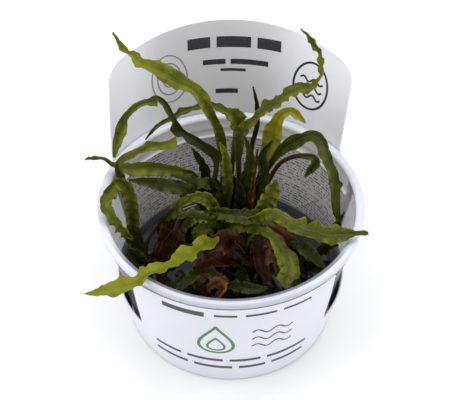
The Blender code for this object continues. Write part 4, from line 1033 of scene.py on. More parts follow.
def even_stations(curve, pitch):
    """Points spread evenly along a curve, about pitch apart, and the curve's length."""
    lengths = [0.0]
    for start, end in zip(curve, curve[1:]):
        lengths.append(lengths[-1] + (end - start).length)
    count = max(8, round(lengths[-1] / pitch)) + 1
    stations = []
    place = 0
    for i in range(count):
        wanted = lengths[-1] * i / (count - 1)
        while place < len(curve) - 2 and lengths[place + 1] < wanted:
            place += 1
        share = (wanted - lengths[place]) / (lengths[place + 1] - lengths[place])
        stations.append(curve[place].lerp(curve[place + 1], share))
    return stations, lengths[-1]


def smooth_step(value):
    """0 below 0 and 1 above 1, with a smooth rise between."""
    value = min(max(value, 0.0), 1.0)
    return value * value * (3.0 - 2.0 * value)


def blend_three(values, share):
    """A value that goes from the first of three to the second and then the third."""
    first, middle, last = values
    if share < 0.5:
        return first + (middle - first) * 2.0 * share
    return middle + (last - middle) * (2.0 * share - 1.0)


def face_at(leaf, share):
    """The way the leaf's upper side looks at a share of its length."""
    foot, middle, tip = (Vector(face).normalized() for face in leaf.faces)
    if share < 0.5:
        return foot.lerp(middle, 2.0 * share)
    return middle.lerp(tip, 2.0 * share - 1.0)


def reach_at(leaf, share):
    """How far the blade reaches to the left and to the right at a share of its length."""
    knots = []
    for place, *sizes in ((0.0, STALK_WIDTH * 1.3), *leaf.widths):
        left, right = sizes if len(sizes) == 2 else (0.5 * sizes[0], 0.5 * sizes[0])
        knots.append((place, left, right))
    for (start, left, right), (end, next_left, next_right) in zip(knots, knots[1:]):
        if share <= end:
            blend = smooth_step((share - start) / (end - start))
            return left + (next_left - left) * blend, right + (next_right - right) * blend
    return knots[-1][1:]


# Leaves


class Ruffle:
    """How one leaf's two edges wave, how its blade twists and which half of it gets painted shade, from
    its own fixed seed.
    """

    def __init__(self, leaf, seed):
        chance = random.Random(seed)
        self.height, self.length, self.notch = leaf.wave
        self.phase = {side: chance.uniform(0.0, 10.0) for side in SIDES}
        self.drift = chance.uniform(0.0, 50.0)
        self.twist = chance.uniform(0.18, 0.40) * chance.choice(SIDES)
        self.fold = chance.uniform(0.22, 0.45)
        # Painted shade on one half of the blade and painted light on the other
        self.painted_half_shade = chance.uniform(0.04, 0.14) * chance.choice(SIDES)

    def wander(self, along, side):
        """Slow change of the wave's pace, so that no two ruffles are alike."""
        return 0.55 * noise.noise((along * 0.16, self.drift, 3.7 * side))

    def lobe(self, along, side):
        """Edge outline, from 0 at a notch to 1 at the top of a lobe."""
        turn = along / self.length + self.phase[side] + self.wander(along, side)
        large = abs(math.sin(math.pi * turn)) ** 0.75
        small = abs(math.sin(math.pi * (2.6 * turn + 0.3 * side))) ** 0.8
        return 0.72 * large + 0.28 * small

    def lift(self, along, side):
        """How far the edge stands up or hangs down there, in millimetres."""
        turn = along / self.length + self.phase[side] + self.wander(along, side)
        slow = math.sin(2.0 * math.pi * turn)
        quick = 0.35 * math.sin(2.0 * math.pi * 2.3 * turn + side)
        gain = 0.75 + 0.5 * noise.noise((along * 0.11, side * 5.1, self.drift))
        return self.height * gain * (slow + quick)

    def pleat(self, along, out):
        """Small folds that slant from the midrib to the edge, in millimetres."""
        turn = along / PLEAT_PITCH - 1.2 * out + self.drift
        return 0.08 * math.sin(2.0 * math.pi * turn) * 4.0 * out * (1.0 - 0.8 * out)

    def sway(self, along):
        """How far the whole blade strays sideways from its route, in millimetres."""
        return 0.4 * noise.noise((along * 0.09, self.drift, 11.0))

    def tilt(self, share):
        """Twist of the blade about its own line, in radians."""
        return self.twist * math.sin(2.0 * math.pi * (1.4 * share + self.drift))


def leaf_section(left, right, grown, along, ruffle, crumple):
    """One ring round the leaf at a station, top row first: (across, up, painted light and shade)
    points.
    """
    top, bottom = [], []
    width = left + right
    middle = RIB_SHIFT * (left - right)
    full = grown * min(1.0, width / FULL_WIDTH)
    for column in range(COLUMNS + 1):
        u = 2.0 * column / COLUMNS - 1.0
        side = 1 if u >= 0.0 else -1
        out = abs(u)
        notch = grown * ruffle.notch * (1.0 - ruffle.lobe(along, side)) * out
        reach = left - middle if u >= 0.0 else right + middle
        across = middle + u * reach * (1.0 + 0.04 * grown - notch)
        wave = ruffle.lift(along, side)
        lift = full * (wave * out**1.8 + ruffle.pleat(along, out))
        lift += grown * ruffle.fold * width * 0.5 * out**1.3
        lift += crumple * grown * noise.noise((along * 0.25, across * 0.4, ruffle.drift))
        lift += 0.08 * grown * noise.noise((along * 0.9, across * 1.1, ruffle.drift + 9.0))
        # Painted light where the ruffled edge rises and painted shade in its notches
        painted_light = full * WAVE_PAINTED_LIGHT * (wave * out / ruffle.height - NOTCH_SHADE * notch)
        # Painted shade on one half of the blade, painted light on the other
        painted_light += grown * ruffle.painted_half_shade * u
        rib = math.exp(-(((across - middle) / RIB_WIDTH) ** 2))
        blade_top = BLADE_HALF - RIB_GROOVE * rib
        blade_bottom = -BLADE_HALF - RIB_DEPTH * rib
        round_half = 0.5 * STALK_WIDTH * math.sqrt(max(0.0, 1.0 - u * u)) + 0.03
        top.append((across, lift + grown * blade_top + (1.0 - grown) * round_half, painted_light))
        bottom.append((across, lift + grown * blade_bottom - (1.0 - grown) * round_half, painted_light))
    return top + bottom[::-1]


def direction_at(route, i):
    """The way that a route of points goes at its point i."""
    return (route[min(i + 1, len(route) - 1)] - route[max(i - 1, 0)]).normalized()


def blade_axes(tangent, face, tilt):
    """The ways to the blade's left and up from its upper side, turned by a tilt."""
    across = face.cross(tangent).normalized()
    up = tangent.cross(across)
    return (across * math.cos(tilt) + up * math.sin(tilt),
            up * math.cos(tilt) - across * math.sin(tilt))


def make_leaf(name, leaf, material, seed):
    """A crinkled leaf on its stalk: rings of points along the leaf's route."""
    stations, length = even_stations(smooth_route(leaf.route), STATION_PITCH)
    ruffle = Ruffle(leaf, seed)
    crumple = CRUMPLE[leaf.tone]
    stalk_end = leaf.widths[0][0]
    count = len(stations)
    ring_size = 2 * (COLUMNS + 1)
    points, flat, light, grown_values = [], [], [], []
    for i, station in enumerate(stations):
        share = i / (count - 1)
        along = share * length
        grown = smooth_step((share - stalk_end) / GROWTH_SHARE)
        across, up = blade_axes(
            direction_at(stations, i), face_at(leaf, share), ruffle.tilt(share) * grown)
        left, right = reach_at(leaf, share)
        station = station + across * ruffle.sway(along) * grown
        ring = leaf_section(left, right, grown, along, ruffle, crumple)
        for k, (x, z, painted_light) in enumerate(ring):
            points.append(station + across * x + up * z)
            column = k if k <= COLUMNS else ring_size - 1 - k
            flat.append((column / COLUMNS, along / FLAT_UNIT))
            light.append(blend_three(leaf.light, share) + painted_light)
        grown_values += [grown] * ring_size
    faces = ring_faces(count, ring_size)
    piece = add_piece(name, points, faces, [material])
    set_flat_map(piece, flat)
    set_point_values(piece, "light", light)
    set_point_values(piece, "grown", grown_values)
    set_point_values(piece, "ruddy", [leaf.ruddy] * len(points))
    set_point_values(piece, "drift", [ruffle.drift] * len(points))
    return piece


def ring_faces(count, size):
    """Faces of a closed tube of count rings with size points each, and its two end caps."""
    faces = [tuple(reversed(range(size)))]
    for i in range(count - 1):
        for k in range(size):
            m = (k + 1) % size
            faces.append((i * size + k, i * size + m, (i + 1) * size + m, (i + 1) * size + k))
    faces.append(tuple((count - 1) * size + k for k in range(size)))
    return faces


def make_leaves():
    """Every leaf in place of its CAD node, and the small leaves between them."""
    paints = {tone: leaf_material(tone) for tone in LEAF_PAINTS}
    for seed, (name, leaf) in enumerate(LEAVES.items()):
        piece = make_leaf(f"{name}_blade", leaf, paints[leaf.tone], seed)
        stands_for(piece, name)
    for seed, (name, leaf) in enumerate(SMALL_LEAVES.items()):
        piece = make_leaf(name, leaf, paints[leaf.tone], SMALL_LEAF_SEED + seed)
        extra_piece(piece)


def make_scraps(material):
    """Crumbs of dead leaf that lie on the gel: flat cones on both sides of a ragged outline."""
    chance = random.Random(SCRAP_SEED)
    points, faces = [], []
    for _ in range(SCRAP_COUNT):
        turn = chance.uniform(0.0, 2.0 * math.pi)
        out = SCRAP_FIELD_RADIUS * math.sqrt(chance.random())
        centre = Vector((out * math.cos(turn), out * math.sin(turn) + SCRAP_FIELD_SHIFT,
                         GEL_TOP + SCRAP_LIFT))
        size = chance.uniform(0.8, 2.6)
        stretch = chance.uniform(0.35, 0.9)
        heading = chance.uniform(0.0, math.pi)
        first = len(points)
        points.append(centre + Vector((0.0, 0.0, chance.uniform(0.3, 1.1))))
        points.append(centre - Vector((0.0, 0.0, 0.5)))
        for k in range(SCRAP_SIDES):
            angle = 2.0 * math.pi * k / SCRAP_SIDES
            reach = size * chance.uniform(0.6, 1.15)
            x, y = reach * math.cos(angle), reach * stretch * math.sin(angle)
            points.append(centre + Vector((x * math.cos(heading) - y * math.sin(heading),
                                           x * math.sin(heading) + y * math.cos(heading),
                                           chance.uniform(0.0, 0.7))))
        for k in range(SCRAP_SIDES):
            a, b = first + 2 + k, first + 2 + (k + 1) % SCRAP_SIDES
            faces.append((first, a, b))
            faces.append((first + 1, b, a))
    extra_piece(add_piece("scraps", points, faces, [material]))


# Crowns and roots


def make_crown(name, place, material, seed):
    """A rootstock wrapped in the sheaths of its leaves, narrower at its top."""
    bottom = GEL_TOP + GAP
    points = []
    for row in range(CROWN_ROWS + 1):
        share = row / CROWN_ROWS
        radius = CROWN_RADIUS * (1.0 - 0.42 * share**1.4)
        for k in range(CROWN_SIDES):
            turn = 2.0 * math.pi * k / CROWN_SIDES
            folds = 0.09 * abs(math.sin(2.5 * turn + 1.8 * share + seed))
            rough = 0.05 * noise.noise((3.0 * math.cos(turn), 3.0 * math.sin(turn), share * 3.0))
            reach = radius * (1.0 - folds + rough)
            points.append((place[0] + reach * math.cos(turn), place[1] + reach * math.sin(turn),
                           bottom + CROWN_HEIGHT * share))
    piece = add_piece(f"{name}_sheaths", points, ring_faces(CROWN_ROWS + 1, CROWN_SIDES), [material])
    stands_for(piece, name)


def tube(points, faces, route, start_radius, end_radius, sides=6):
    """Adds a thin closed tube along a route to lists of points and faces."""
    first = len(points)
    count = len(route)
    for i, place in enumerate(route):
        tangent = direction_at(route, i)
        across = tangent.cross(Vector((0.1, 0.2, 1.0))).normalized()
        up = across.cross(tangent)
        radius = start_radius + (end_radius - start_radius) * i / (count - 1)
        for k in range(sides):
            turn = 2.0 * math.pi * k / sides
            points.append(place + (across * math.cos(turn) + up * math.sin(turn)) * radius)
    faces += [tuple(first + v for v in face) for face in ring_faces(count, sides)]


def root_route(x, y, heading, reach):
    """A root's winding way over the gel, from a crown's foot down into the gel."""
    route = []
    for i in range(ROOT_STEPS + 1):
        share = i / ROOT_STEPS
        turn = heading + 0.9 * math.sin(2.4 * share + heading)
        out = CROWN_RADIUS * 0.7 + reach * share
        height = GEL_TOP + 1.1 * (1.0 - share) ** 2 - 0.9 * share**3 + 0.25
        route.append(Vector((x + out * math.cos(turn), y + out * math.sin(turn), height)))
    return route


def make_roots(material):
    """Thin roots that spread from each crown over the gel and dip into it."""
    chance = random.Random(ROOT_SEED)
    points, faces = [], []
    for x, y in CROWN_PLACES.values():
        for _ in range(ROOTS_PER_CROWN):
            heading = chance.uniform(0.0, 2.0 * math.pi)
            route = root_route(x, y, heading, chance.uniform(4.0, 9.0))
            tube(points, faces, route, chance.uniform(0.22, 0.34), 0.12)
    piece = add_piece("roots", points, faces, [material])
    extra_piece(piece)


# Cup and gel

CLEAR, SEAT, MILKY, WINDOW_SHADE, EDGE = 0, 1, 2, 3, 4


def inner_wall_radius(height):
    """Radius of the cup's inner wall at a height between its floor and its ledge."""
    low = BASE_RADIUS - WALL
    high = LEDGE_OUTER_RADIUS - WALL
    return low + (high - low) * (height - FLOOR) / (LEDGE_HEIGHT - FLOOR)


def arc(centre, radius, start, end, kind, steps=5):
    """Profile points on an arc between two angles in degrees, 0 pointing away from the axis."""
    turns = [math.radians(start + (end - start) * i / steps) for i in range(steps + 1)]
    x, z = centre
    return [(x + radius * math.cos(t), z + radius * math.sin(t), kind) for t in turns]


def cup_inside():
    """Profile of the cup's inside, from the middle of its floor up to its lid seat."""
    seat = RIM_INNER_RADIUS - 0.3
    ledge = LEDGE_HEIGHT
    return [
        (0.0, FLOOR, CLEAR),
        (20.0, FLOOR, CLEAR),
        *arc((BASE_RADIUS - WALL - BASE_ROUND, FLOOR + BASE_ROUND), BASE_ROUND, -90, 0, CLEAR),
        (inner_wall_radius(20.0), 20.0, CLEAR),
        (inner_wall_radius(ledge) - 0.05, ledge - 0.4, CLEAR),
        (inner_wall_radius(ledge) + 0.25, ledge, SEAT),
        (seat - 0.3, ledge + 0.15, SEAT),
        (seat, ledge + 0.5, SEAT),
        (seat + 0.05, ledge + 3.0, SEAT),
        (seat - 0.12, ledge + 3.4, SEAT),
        (seat - 0.12, ledge + 4.2, SEAT),
        (seat + 0.05, ledge + 4.6, SEAT),
        (seat + 0.05, CUP_HEIGHT - 1.9, SEAT),
        (seat, CUP_HEIGHT - 1.6, EDGE),
    ]


def cup_rim():
    """Profile of the rim, over its top and down its skirt to the seat's outer side."""
    top = CUP_HEIGHT
    return [
        (RIM_INNER_RADIUS - 0.1, top - 0.6, EDGE),
        (RIM_INNER_RADIUS + 0.7, top - 0.25, EDGE),
        (RIM_INNER_RADIUS + 1.4, top - 0.04, MILKY),
        *arc((RIM_RADIUS - 0.6, top - 0.6), 0.6, 90, 0, MILKY),
        (RIM_RADIUS, top - 1.5, MILKY),
        (RIM_RADIUS - 0.08, top - 1.7, MILKY),
        (RIM_RADIUS - 0.08, top - 2.1, MILKY),
        (RIM_RADIUS, top - 2.3, MILKY),
        *arc((RIM_RADIUS - 0.3, top - RIM_SKIRT + 0.3), 0.3, 0, -90, MILKY, 3),
        (RIM_RADIUS - RIM_SKIN, top - RIM_SKIRT, MILKY),
        (RIM_RADIUS - RIM_SKIN, top - 1.3, MILKY),
        (SEAT_OUTER_RADIUS + 0.2, top - 1.2, SEAT),
    ]


def cup_outside():
    """Profile of the cup's outside, from the seat down to the middle of its base."""
    return [
        (SEAT_OUTER_RADIUS, CUP_HEIGHT - 1.5, SEAT),
        (SEAT_OUTER_RADIUS, LEDGE_HEIGHT - 0.4, SEAT),
        (SEAT_OUTER_RADIUS - 0.3, LEDGE_HEIGHT - 0.8, SEAT),
        (LEDGE_OUTER_RADIUS, LEDGE_HEIGHT - 1.2, CLEAR),
        (0.5 * (LEDGE_OUTER_RADIUS + BASE_RADIUS), 0.5 * LEDGE_HEIGHT, CLEAR),
        *arc((BASE_RADIUS - BASE_ROUND, BASE_ROUND), BASE_ROUND, 0, -90, CLEAR),
        (BASE_RADIUS - 4.0, 0.0, CLEAR),
        (BASE_RADIUS - 4.6, 0.3, CLEAR),
        (0.0, 0.3, CLEAR),
    ]


def make_cup():
    """The moulded cup: clear wall and floor, dark grey in the windows as painted shade, with a milky
    lid seat and rim that get painted shade at their front.
    """
    clear = clear_plastic_material("clear_plastic", 0.10, (0.60, 0.60, 0.61), (0.45, 0.45, 0.46))
    # Dark grey, half see-through plastic in the windows: painted shade
    window_shade = clear_plastic_material("window_shade_plastic", 0.50, (0.30, 0.30, 0.32), (0.20, 0.20, 0.22))
    # The seat, the rim and its inner edge darken at the front as painted shade, the inner edge most
    seat = milky_plastic_material(
        "seat_plastic", 0.85, (0.90, 0.90, 0.90), (0.70, 0.70, 0.71), (0.70, 0.70, 0.71), -20.0)
    milky = milky_plastic_material(
        "milky_plastic", 0.97, (0.78, 0.80, 0.86), (0.68, 0.70, 0.78), (0.60, 0.62, 0.67), -34.0)
    edge = milky_plastic_material(
        "edge_plastic", 0.90, (0.84, 0.85, 0.90), (0.74, 0.75, 0.82), (0.24, 0.24, 0.28), -18.0)
    profile = cup_inside() + cup_rim() + cup_outside()
    cup = turned("cup_wall", profile, [clear, seat, milky, window_shade, edge], CUP_STEPS)
    # Faces in the windows, where no card covers the wall, take the painted shade
    for face in cup.data.polygons:
        x, y, z = face.center / MM
        angle = math.degrees(math.atan2(x, y)) % 360.0
        bare = in_window(angle) and in_window(angle - 360.0)
        if face.material_index in (CLEAR, SEAT) and bare and z > FLOOR + 1.0:
            face.material_index = WINDOW_SHADE
    stands_for(cup, "cup")


def make_gel():
    """The gel disc, uneven on top, with its edge climbing the wall."""
    material = gel_material()
    edge_top = GEL_TOP + GEL_EDGE_RISE
    outer = inner_wall_radius(edge_top) - GAP - 0.1
    flat_edge = outer - GEL_EDGE_WIDTH
    bottom = FLOOR + GAP
    profile = []
    for i in range(GEL_RINGS + 1):
        radius = outer * i / GEL_RINGS
        climb = smooth_step((radius - flat_edge) / GEL_EDGE_WIDTH) ** 2
        profile.append((radius, GEL_TOP - 0.1 + (GEL_EDGE_RISE + 0.1) * climb, 0))
    profile += [
        (outer, edge_top - 0.3, 0),
        (inner_wall_radius(FLOOR + BASE_ROUND) - GAP - 0.2, FLOOR + BASE_ROUND + 0.3, 0),
        (BASE_RADIUS - WALL - BASE_ROUND - GAP, bottom, 0),
        (0.0, bottom, 0),
    ]
    gel = turned("gel_body", profile, [material], GEL_STEPS)
    for point in gel.data.vertices:
        place = point.co / MM
        if place.z > GEL_TOP - 0.2:
            point.co.z += 0.22 * MM * noise.noise((place.x * 0.12, place.y * 0.12, 4.0))
    stands_for(gel, "gel")


# Card sleeve and its print

OUTSIDE, INSIDE = 0, 1
LOW_ROWS = 4
HIGH_ROWS = 12
FRONT_MARKS_HEIGHT = 29.2


def panel_top(angle):
    """Height of the card's upper edge at an angle: the header, or just under the rim."""
    foot_left, foot_right = HEADER_FOOT_ANGLES
    corner = HEADER_CORNER_ANGLES[0 if angle < 0 else 1]
    foot = foot_left if angle < 0 else foot_right
    if abs(angle) <= HEADER_SHOULDER_ANGLE:
        share = angle / HEADER_SHOULDER_ANGLE
        return HEADER_TOP - (HEADER_TOP - HEADER_SHOULDER) * share**2
    if abs(angle) <= abs(corner):
        share = (abs(angle) - HEADER_SHOULDER_ANGLE) / (abs(corner) - HEADER_SHOULDER_ANGLE)
        drop = 1.0 - math.sqrt(1.0 - min(share, 1.0) ** 2)
        return HEADER_SHOULDER - (HEADER_SHOULDER - HEADER_CORNER) * drop
    if foot_left <= angle <= foot_right:
        share = (abs(angle) - abs(corner)) / (abs(foot) - abs(corner))
        return HEADER_CORNER - (HEADER_CORNER - CUP_HEIGHT) * share
    return FRONT_TOP


def in_window(angle):
    """True where the card leaves the side of the cup bare above its low band."""
    back = PANEL_EDGE_ANGLES[0] < angle < PANEL_EDGE_ANGLES[1]
    front = FRONT_EDGE_ANGLES[0] < angle < FRONT_EDGE_ANGLES[1]
    return not (back or front)


def spread(start, end, count):
    """The count values that divide the way from start to end evenly, without start."""
    return [start + (end - start) * (i + 1) / count for i in range(count)]


def sleeve_angles():
    """Angles of the sleeve's columns in degrees, clockwise from the back."""
    edge_left, edge_right = PANEL_EDGE_ANGLES
    foot_left, foot_right = HEADER_FOOT_ANGLES
    corner_left, corner_right = HEADER_CORNER_ANGLES
    shoulder = HEADER_SHOULDER_ANGLE
    front_right, front_left = FRONT_EDGE_ANGLES
    angles = [edge_left]
    angles += spread(edge_left, foot_left, 3)
    angles += spread(foot_left, corner_left, 8)
    angles += spread(corner_left, -shoulder, 20)
    angles += spread(-shoulder, shoulder, 56)
    angles += spread(shoulder, corner_right, 20)
    angles += spread(corner_right, foot_right, 4)
    angles += spread(foot_right, edge_right, 12)
    angles += spread(edge_right, front_right, 28)
    angles += spread(front_right, front_left, 64)
    angles += spread(front_left, 360.0 + edge_left, 33)
    return angles


def on_sleeve(angle, height, outwards):
    """A point at an angle and height, a distance outside the sleeve's inner side."""
    radius = SLEEVE_BASE_RADIUS + SLEEVE_SLOPE * height + outwards
    if FRONT_EDGE_ANGLES[0] < angle < FRONT_EDGE_ANGLES[1]:
        radius -= 0.28 * smooth_step((height - 40.0) / 14.0)
    turn = math.radians(angle)
    return (radius * math.sin(turn), radius * math.cos(turn), height)


def leaned(angle, height):
    """The angle of a column of the card at a height: the front panel narrows towards its top."""
    if not FRONT_EDGE_ANGLES[0] <= angle <= FRONT_EDGE_ANGLES[1]:
        return angle
    share = max(0.0, (height - BAND_TOP) / (FRONT_TOP - BAND_TOP))
    return 180.0 + (1.0 - (1.0 - FRONT_TOP_SHARE) * share) * (angle - 180.0)


def sleeve_points(angles):
    """Points of the card's inner and then its outer side, column by column, with their map."""
    points, flat = [], []
    for outwards in (0.0, SLEEVE_THICK):
        for angle in angles[:-1]:
            for row in range(LOW_ROWS + HIGH_ROWS + 1):
                if row <= LOW_ROWS:
                    height = SLEEVE_BOTTOM + (BAND_TOP - SLEEVE_BOTTOM) * row / LOW_ROWS
                else:
                    share = (row - LOW_ROWS) / HIGH_ROWS
                    height = BAND_TOP + (panel_top(angle) - BAND_TOP) * share
                points.append(on_sleeve(leaned(angle, height), height, outwards))
                radius = SLEEVE_BASE_RADIUS + SLEEVE_SLOPE * height
                flat.append((radius * math.radians(angle), height))
    return points, flat


def sleeve_cells(angles):
    """The (column, row) cells that the card covers: all of its low band, and its two panels."""
    cells = set()
    for column, (start, end) in enumerate(zip(angles, angles[1:])):
        for row in range(LOW_ROWS + HIGH_ROWS):
            if row < LOW_ROWS or not in_window(0.5 * (start + end)):
                cells.add((column, row))
    return cells


def sleeve_faces(cells, columns):
    """Faces of both sides and of every cut edge, with the material index of each."""
    size = LOW_ROWS + HIGH_ROWS + 1
    outer = columns * size
    faces, kinds = [], []

    def point(column, row):
        """The number of the inner side's point at a column and a row."""
        return (column % columns) * size + row

    for column, row in sorted(cells):
        a, b = point(column, row), point(column + 1, row)
        c, d = point(column + 1, row + 1), point(column, row + 1)
        faces.append((d, c, b, a))
        kinds.append(INSIDE)
        faces.append((a + outer, b + outer, c + outer, d + outer))
        kinds.append(OUTSIDE)
        neighbours = (
            ((column, row - 1), a, b), ((column, row + 1), c, d),
            (((column - 1) % columns, row), d, a), (((column + 1) % columns, row), b, c))
        for neighbour, first, second in neighbours:
            if neighbour not in cells:
                faces.append((first, second, second + outer, first + outer))
                kinds.append(OUTSIDE)
    return faces, kinds


def make_sleeve():
    """The card: one closed sheet cut to its outline and rolled into a cone."""
    angles = sleeve_angles()
    points, flat = sleeve_points(angles)
    faces, kinds = sleeve_faces(sleeve_cells(angles), len(angles) - 1)
    materials = [card_outside_material(), card_inside_material()]
    piece = add_piece("card_sheet", points, faces, materials, smooth=False)
    piece.data.polygons.foreach_set("material_index", kinds)
    set_flat_map(piece, flat)
    keep_used_points(piece)
    piece.data.shade_smooth()
    piece.data.set_sharp_from_angle(angle=math.radians(40.0))
    stands_for(piece, "card_sleeve")


def keep_used_points(piece):
    """Removes the points that no face uses."""
    used = {index for face in piece.data.polygons for index in face.vertices}
    loose = [v.index for v in piece.data.vertices if v.index not in used]
    bm = bmesh.new()
    bm.from_mesh(piece.data)
    bm.verts.ensure_lookup_table()
    bmesh.ops.delete(bm, geom=[bm.verts[i] for i in loose], context="VERTS")
    bm.to_mesh(piece.data)
    bm.free()


class Print:
    """Marks of printing ink on the sleeve: thin closed strips that follow its curve."""

    INK = 0.04

    def __init__(self, centre_angle, centre_height, outside):
        self.angle = centre_angle
        self.height = centre_height
        self.inner = SLEEVE_THICK + 0.01 if outside else -0.01 - self.INK
        self.mirror = -1.0 if outside else 1.0
        self.points = []
        self.faces = []

    def place(self, x, z, depth):
        """The point x to the viewer's right and z above the print's centre."""
        height = self.height + z
        radius = SLEEVE_BASE_RADIUS + SLEEVE_SLOPE * height
        angle = self.angle + self.mirror * math.degrees(x / radius)
        return on_sleeve(angle, height, self.inner + depth)

    def stroke(self, route, width, closed=False):
        """A line of ink along (x, z) points, of one width."""
        first = len(self.points)
        count = len(route)
        for i in range(count):
            before = route[i - 1] if closed or i else route[0]
            after = route[(i + 1) % count] if closed or i < count - 1 else route[-1]
            way = Vector((after[0] - before[0], after[1] - before[1])).normalized()
            side = Vector((-way.y, way.x)) * 0.5 * width
            x, z = route[i]
            for sign, depth in ((-1, 0.0), (1, 0.0), (1, self.INK), (-1, self.INK)):
                self.points.append(self.place(x + sign * side.x, z + sign * side.y, depth))
        rings = count if closed else count - 1
        for i in range(rings):
            for k in range(4):
                a, b = first + 4 * i, first + 4 * ((i + 1) % count)
                m = (k + 1) % 4
                self.faces.append((a + k, a + m, b + m, b + k))
        if not closed:
            self.faces.append((first + 3, first + 2, first + 1, first))
            last = first + 4 * (count - 1)
            self.faces.append((last, last + 1, last + 2, last + 3))

    def bars(self, z, width, *spans):
        """Straight bars in one row, in short steps so that they follow the card's curve."""
        for start, end in spans:
            steps = max(2, round((end - start) / 1.5))
            self.stroke([(start, z)] + [(x, z) for x in spread(start, end, steps)], width)

    def oval(self, x, z, half_width, half_height, width, steps=40):
        """A closed oval line."""
        turns = [2.0 * math.pi * i / steps for i in range(steps)]
        route = [(x + half_width * math.cos(t), z + half_height * math.sin(t)) for t in turns]
        self.stroke(route, width, closed=True)

    def wave(self, start, end, z, height, width, humps=2.0):
        """A wavy line."""
        steps = 24
        route = []
        for i in range(steps + 1):
            share = i / steps
            rise = height * math.sin(2.0 * math.pi * humps * share)
            route.append((start + (end - start) * share, z + rise))
        self.stroke(route, width)

    def drop(self, x, z, half_width, height, width, steps=40):
        """A closed outline of a water drop that stands on z."""
        route = []
        for i in range(steps):
            turn = 2.0 * math.pi * i / steps
            narrow = math.sin(0.5 * turn) ** 1.5
            route.append((x + half_width * math.sin(turn) * narrow,
                          z + 0.5 * height * (1.0 + math.cos(turn))))
        self.stroke(route, width, closed=True)

    def finish(self, name, material):
        """Makes the marks one piece."""
        piece = add_piece(name, self.points, self.faces, [material], smooth=False)
        extra_piece(piece)


def make_header_print(dark, grey):
    """Rows of bars, waves in an oval and rings on the header's inner side."""
    header = Print(0.0, 79.4, outside=False)
    header.bars(8.5, 4.6, (-17.0, -8.0), (-5.5, 8.0), (10.5, 20.0))
    header.bars(0.0, 2.2, (-11.0, -2.0), (0.0, 15.0))
    header.bars(-3.6, 1.2, (-4.0, 6.0))
    header.bars(-13.0, 2.0, (-6.0, 3.0))
    header.finish("header_marks", dark)

    sign = Print(35.4, 75.5, outside=False)
    sign.oval(0.0, 0.0, 7.6, 10.0, 0.9)
    for z in (-4.5, -1.0, 2.5):
        sign.wave(-5.0, 5.0, z, 0.9, 0.8)
    sign.finish("header_sign", dark)

    ripples = Print(-26.5, 75.5, outside=False)
    for reach in (2.5, 5.0, 7.5):
        ripples.oval(0.0, 0.0, reach, 1.35 * reach, 0.6)
    ripples.finish("header_ripples", grey)


def make_front_print(dark, green):
    """Rows of bars, a drop and waves on the front panel."""
    front = Print(180.0, FRONT_MARKS_HEIGHT, outside=True)
    front.bars(22.0, 3.0, (-25.0, -9.5))
    front.bars(22.0, 1.3, (-6.0, 2.0), (5.0, 16.0), (18.5, 29.5))
    front.bars(-12.4, 1.8, (-30.0, -19.0), (-16.5, -3.0), (-0.5, 11.0), (13.5, 30.0))
    front.bars(-18.2, 1.8, (-30.0, -16.5), (-14.0, 0.5), (3.0, 13.0), (15.5, 29.0))
    for z in (-1.5, 4.0, 9.5):
        front.wave(7.5, 22.5, z, 1.4, 0.7)
    front.finish("front_marks", dark)

    emblem = Print(180.0, FRONT_MARKS_HEIGHT, outside=True)
    emblem.drop(-5.5, -6.0, 9.0, 20.0, 1.2)
    emblem.drop(-5.5, -4.0, 4.5, 9.5, 0.9)
    emblem.finish("front_emblem", green)


def make_print():
    """Generic marks where the card has words and signs."""
    dark = ink_material("dark_ink", (0.012, 0.012, 0.015), (0.05, 0.05, 0.06))
    grey = ink_material("grey_ink", (0.22, 0.22, 0.24), (0.32, 0.32, 0.34))
    green = ink_material("green_ink", (0.04, 0.14, 0.03), (0.10, 0.24, 0.06))
    make_header_print(dark, grey)
    make_front_print(dark, green)


# Stage

# half the floor's side and how far it lies under the cup, in millimetres
FLOOR_HALF = 1500.0
FLOOR_DROP = 0.05
WORLD_STRENGTH = 0.475

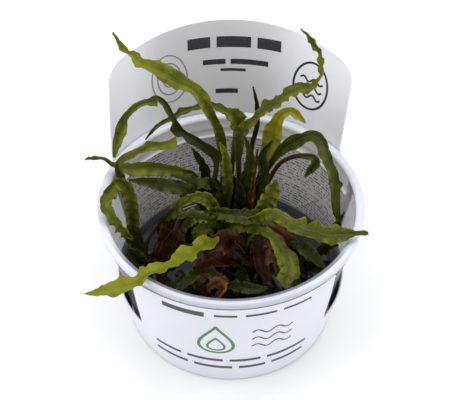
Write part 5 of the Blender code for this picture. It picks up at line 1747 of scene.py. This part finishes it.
# name, place, height of the point it looks at and size in metres, and power in watts
LIGHTS = (
    ("over", (0.05, 0.10, 0.90), 0.03, 0.6, 3.6),
    ("left", (-0.80, -0.10, 0.55), 0.05, 0.8, 4.5),
    ("right", (0.85, -0.15, 0.50), 0.05, 0.8, 3.4),
    ("front", (0.0, -0.90, 0.60), 0.05, 0.8, 1.4),
)

# The photo's point of view: place in metres, degrees up from straight down, and lens
CAMERA_PLACE = (-0.0022, -0.25903, 0.32538)
CAMERA_TILT = 44.0
CAMERA_LENS = 80.0


def add_light(name, place, aim_height, size, power):
    """A large soft square light that looks at a point above the frame's origin."""
    data = bpy.data.lights.new(name, "AREA")
    data.energy = power
    data.size = size
    lamp = bpy.data.objects.new(name, data)
    lamp.location = place
    way = Vector((0.0, 0.0, aim_height)) - Vector(place)
    lamp.rotation_euler = way.to_track_quat("-Z", "Y").to_euler()
    bpy.context.scene.collection.objects.link(lamp)


def make_stage():
    """Pale floor, white surroundings, soft lights and the camera."""
    scene = bpy.context.scene
    corners = [(x * FLOOR_HALF, y * FLOOR_HALF, -FLOOR_DROP)
               for x, y in ((-1, -1), (1, -1), (1, 1), (-1, 1))]
    floor = add_piece("floor", corners, [(0, 1, 2, 3)], [floor_material()], smooth=False)

    world = bpy.data.worlds.new("studio")
    world.use_nodes = True
    back = world.node_tree.nodes["Background"]
    back.inputs["Color"].default_value = (0.98, 0.98, 1.0, 1.0)
    back.inputs["Strength"].default_value = WORLD_STRENGTH
    scene.world = world
    for light in LIGHTS:
        add_light(*light)

    camera = bpy.data.objects.new("camera", bpy.data.cameras.new("camera"))
    camera.location = CAMERA_PLACE
    camera.rotation_euler = (math.radians(CAMERA_TILT), 0.0, 0.0)
    camera.data.lens = CAMERA_LENS
    camera.data.sensor_width = 36.0
    camera.data.clip_start = 0.01
    scene.collection.objects.link(camera)
    scene.camera = camera
    scene.view_settings.view_transform = "Standard"


def main():
    """Builds every piece and the stage."""
    make_cup()
    make_gel()
    make_sleeve()
    make_print()
    crown = crown_material()
    for seed, (name, place) in enumerate(CROWN_PLACES.items()):
        make_crown(name, place, crown, seed)
    make_roots(root_material())
    make_leaves()
    make_scraps(scrap_material())
    make_stage()


main()
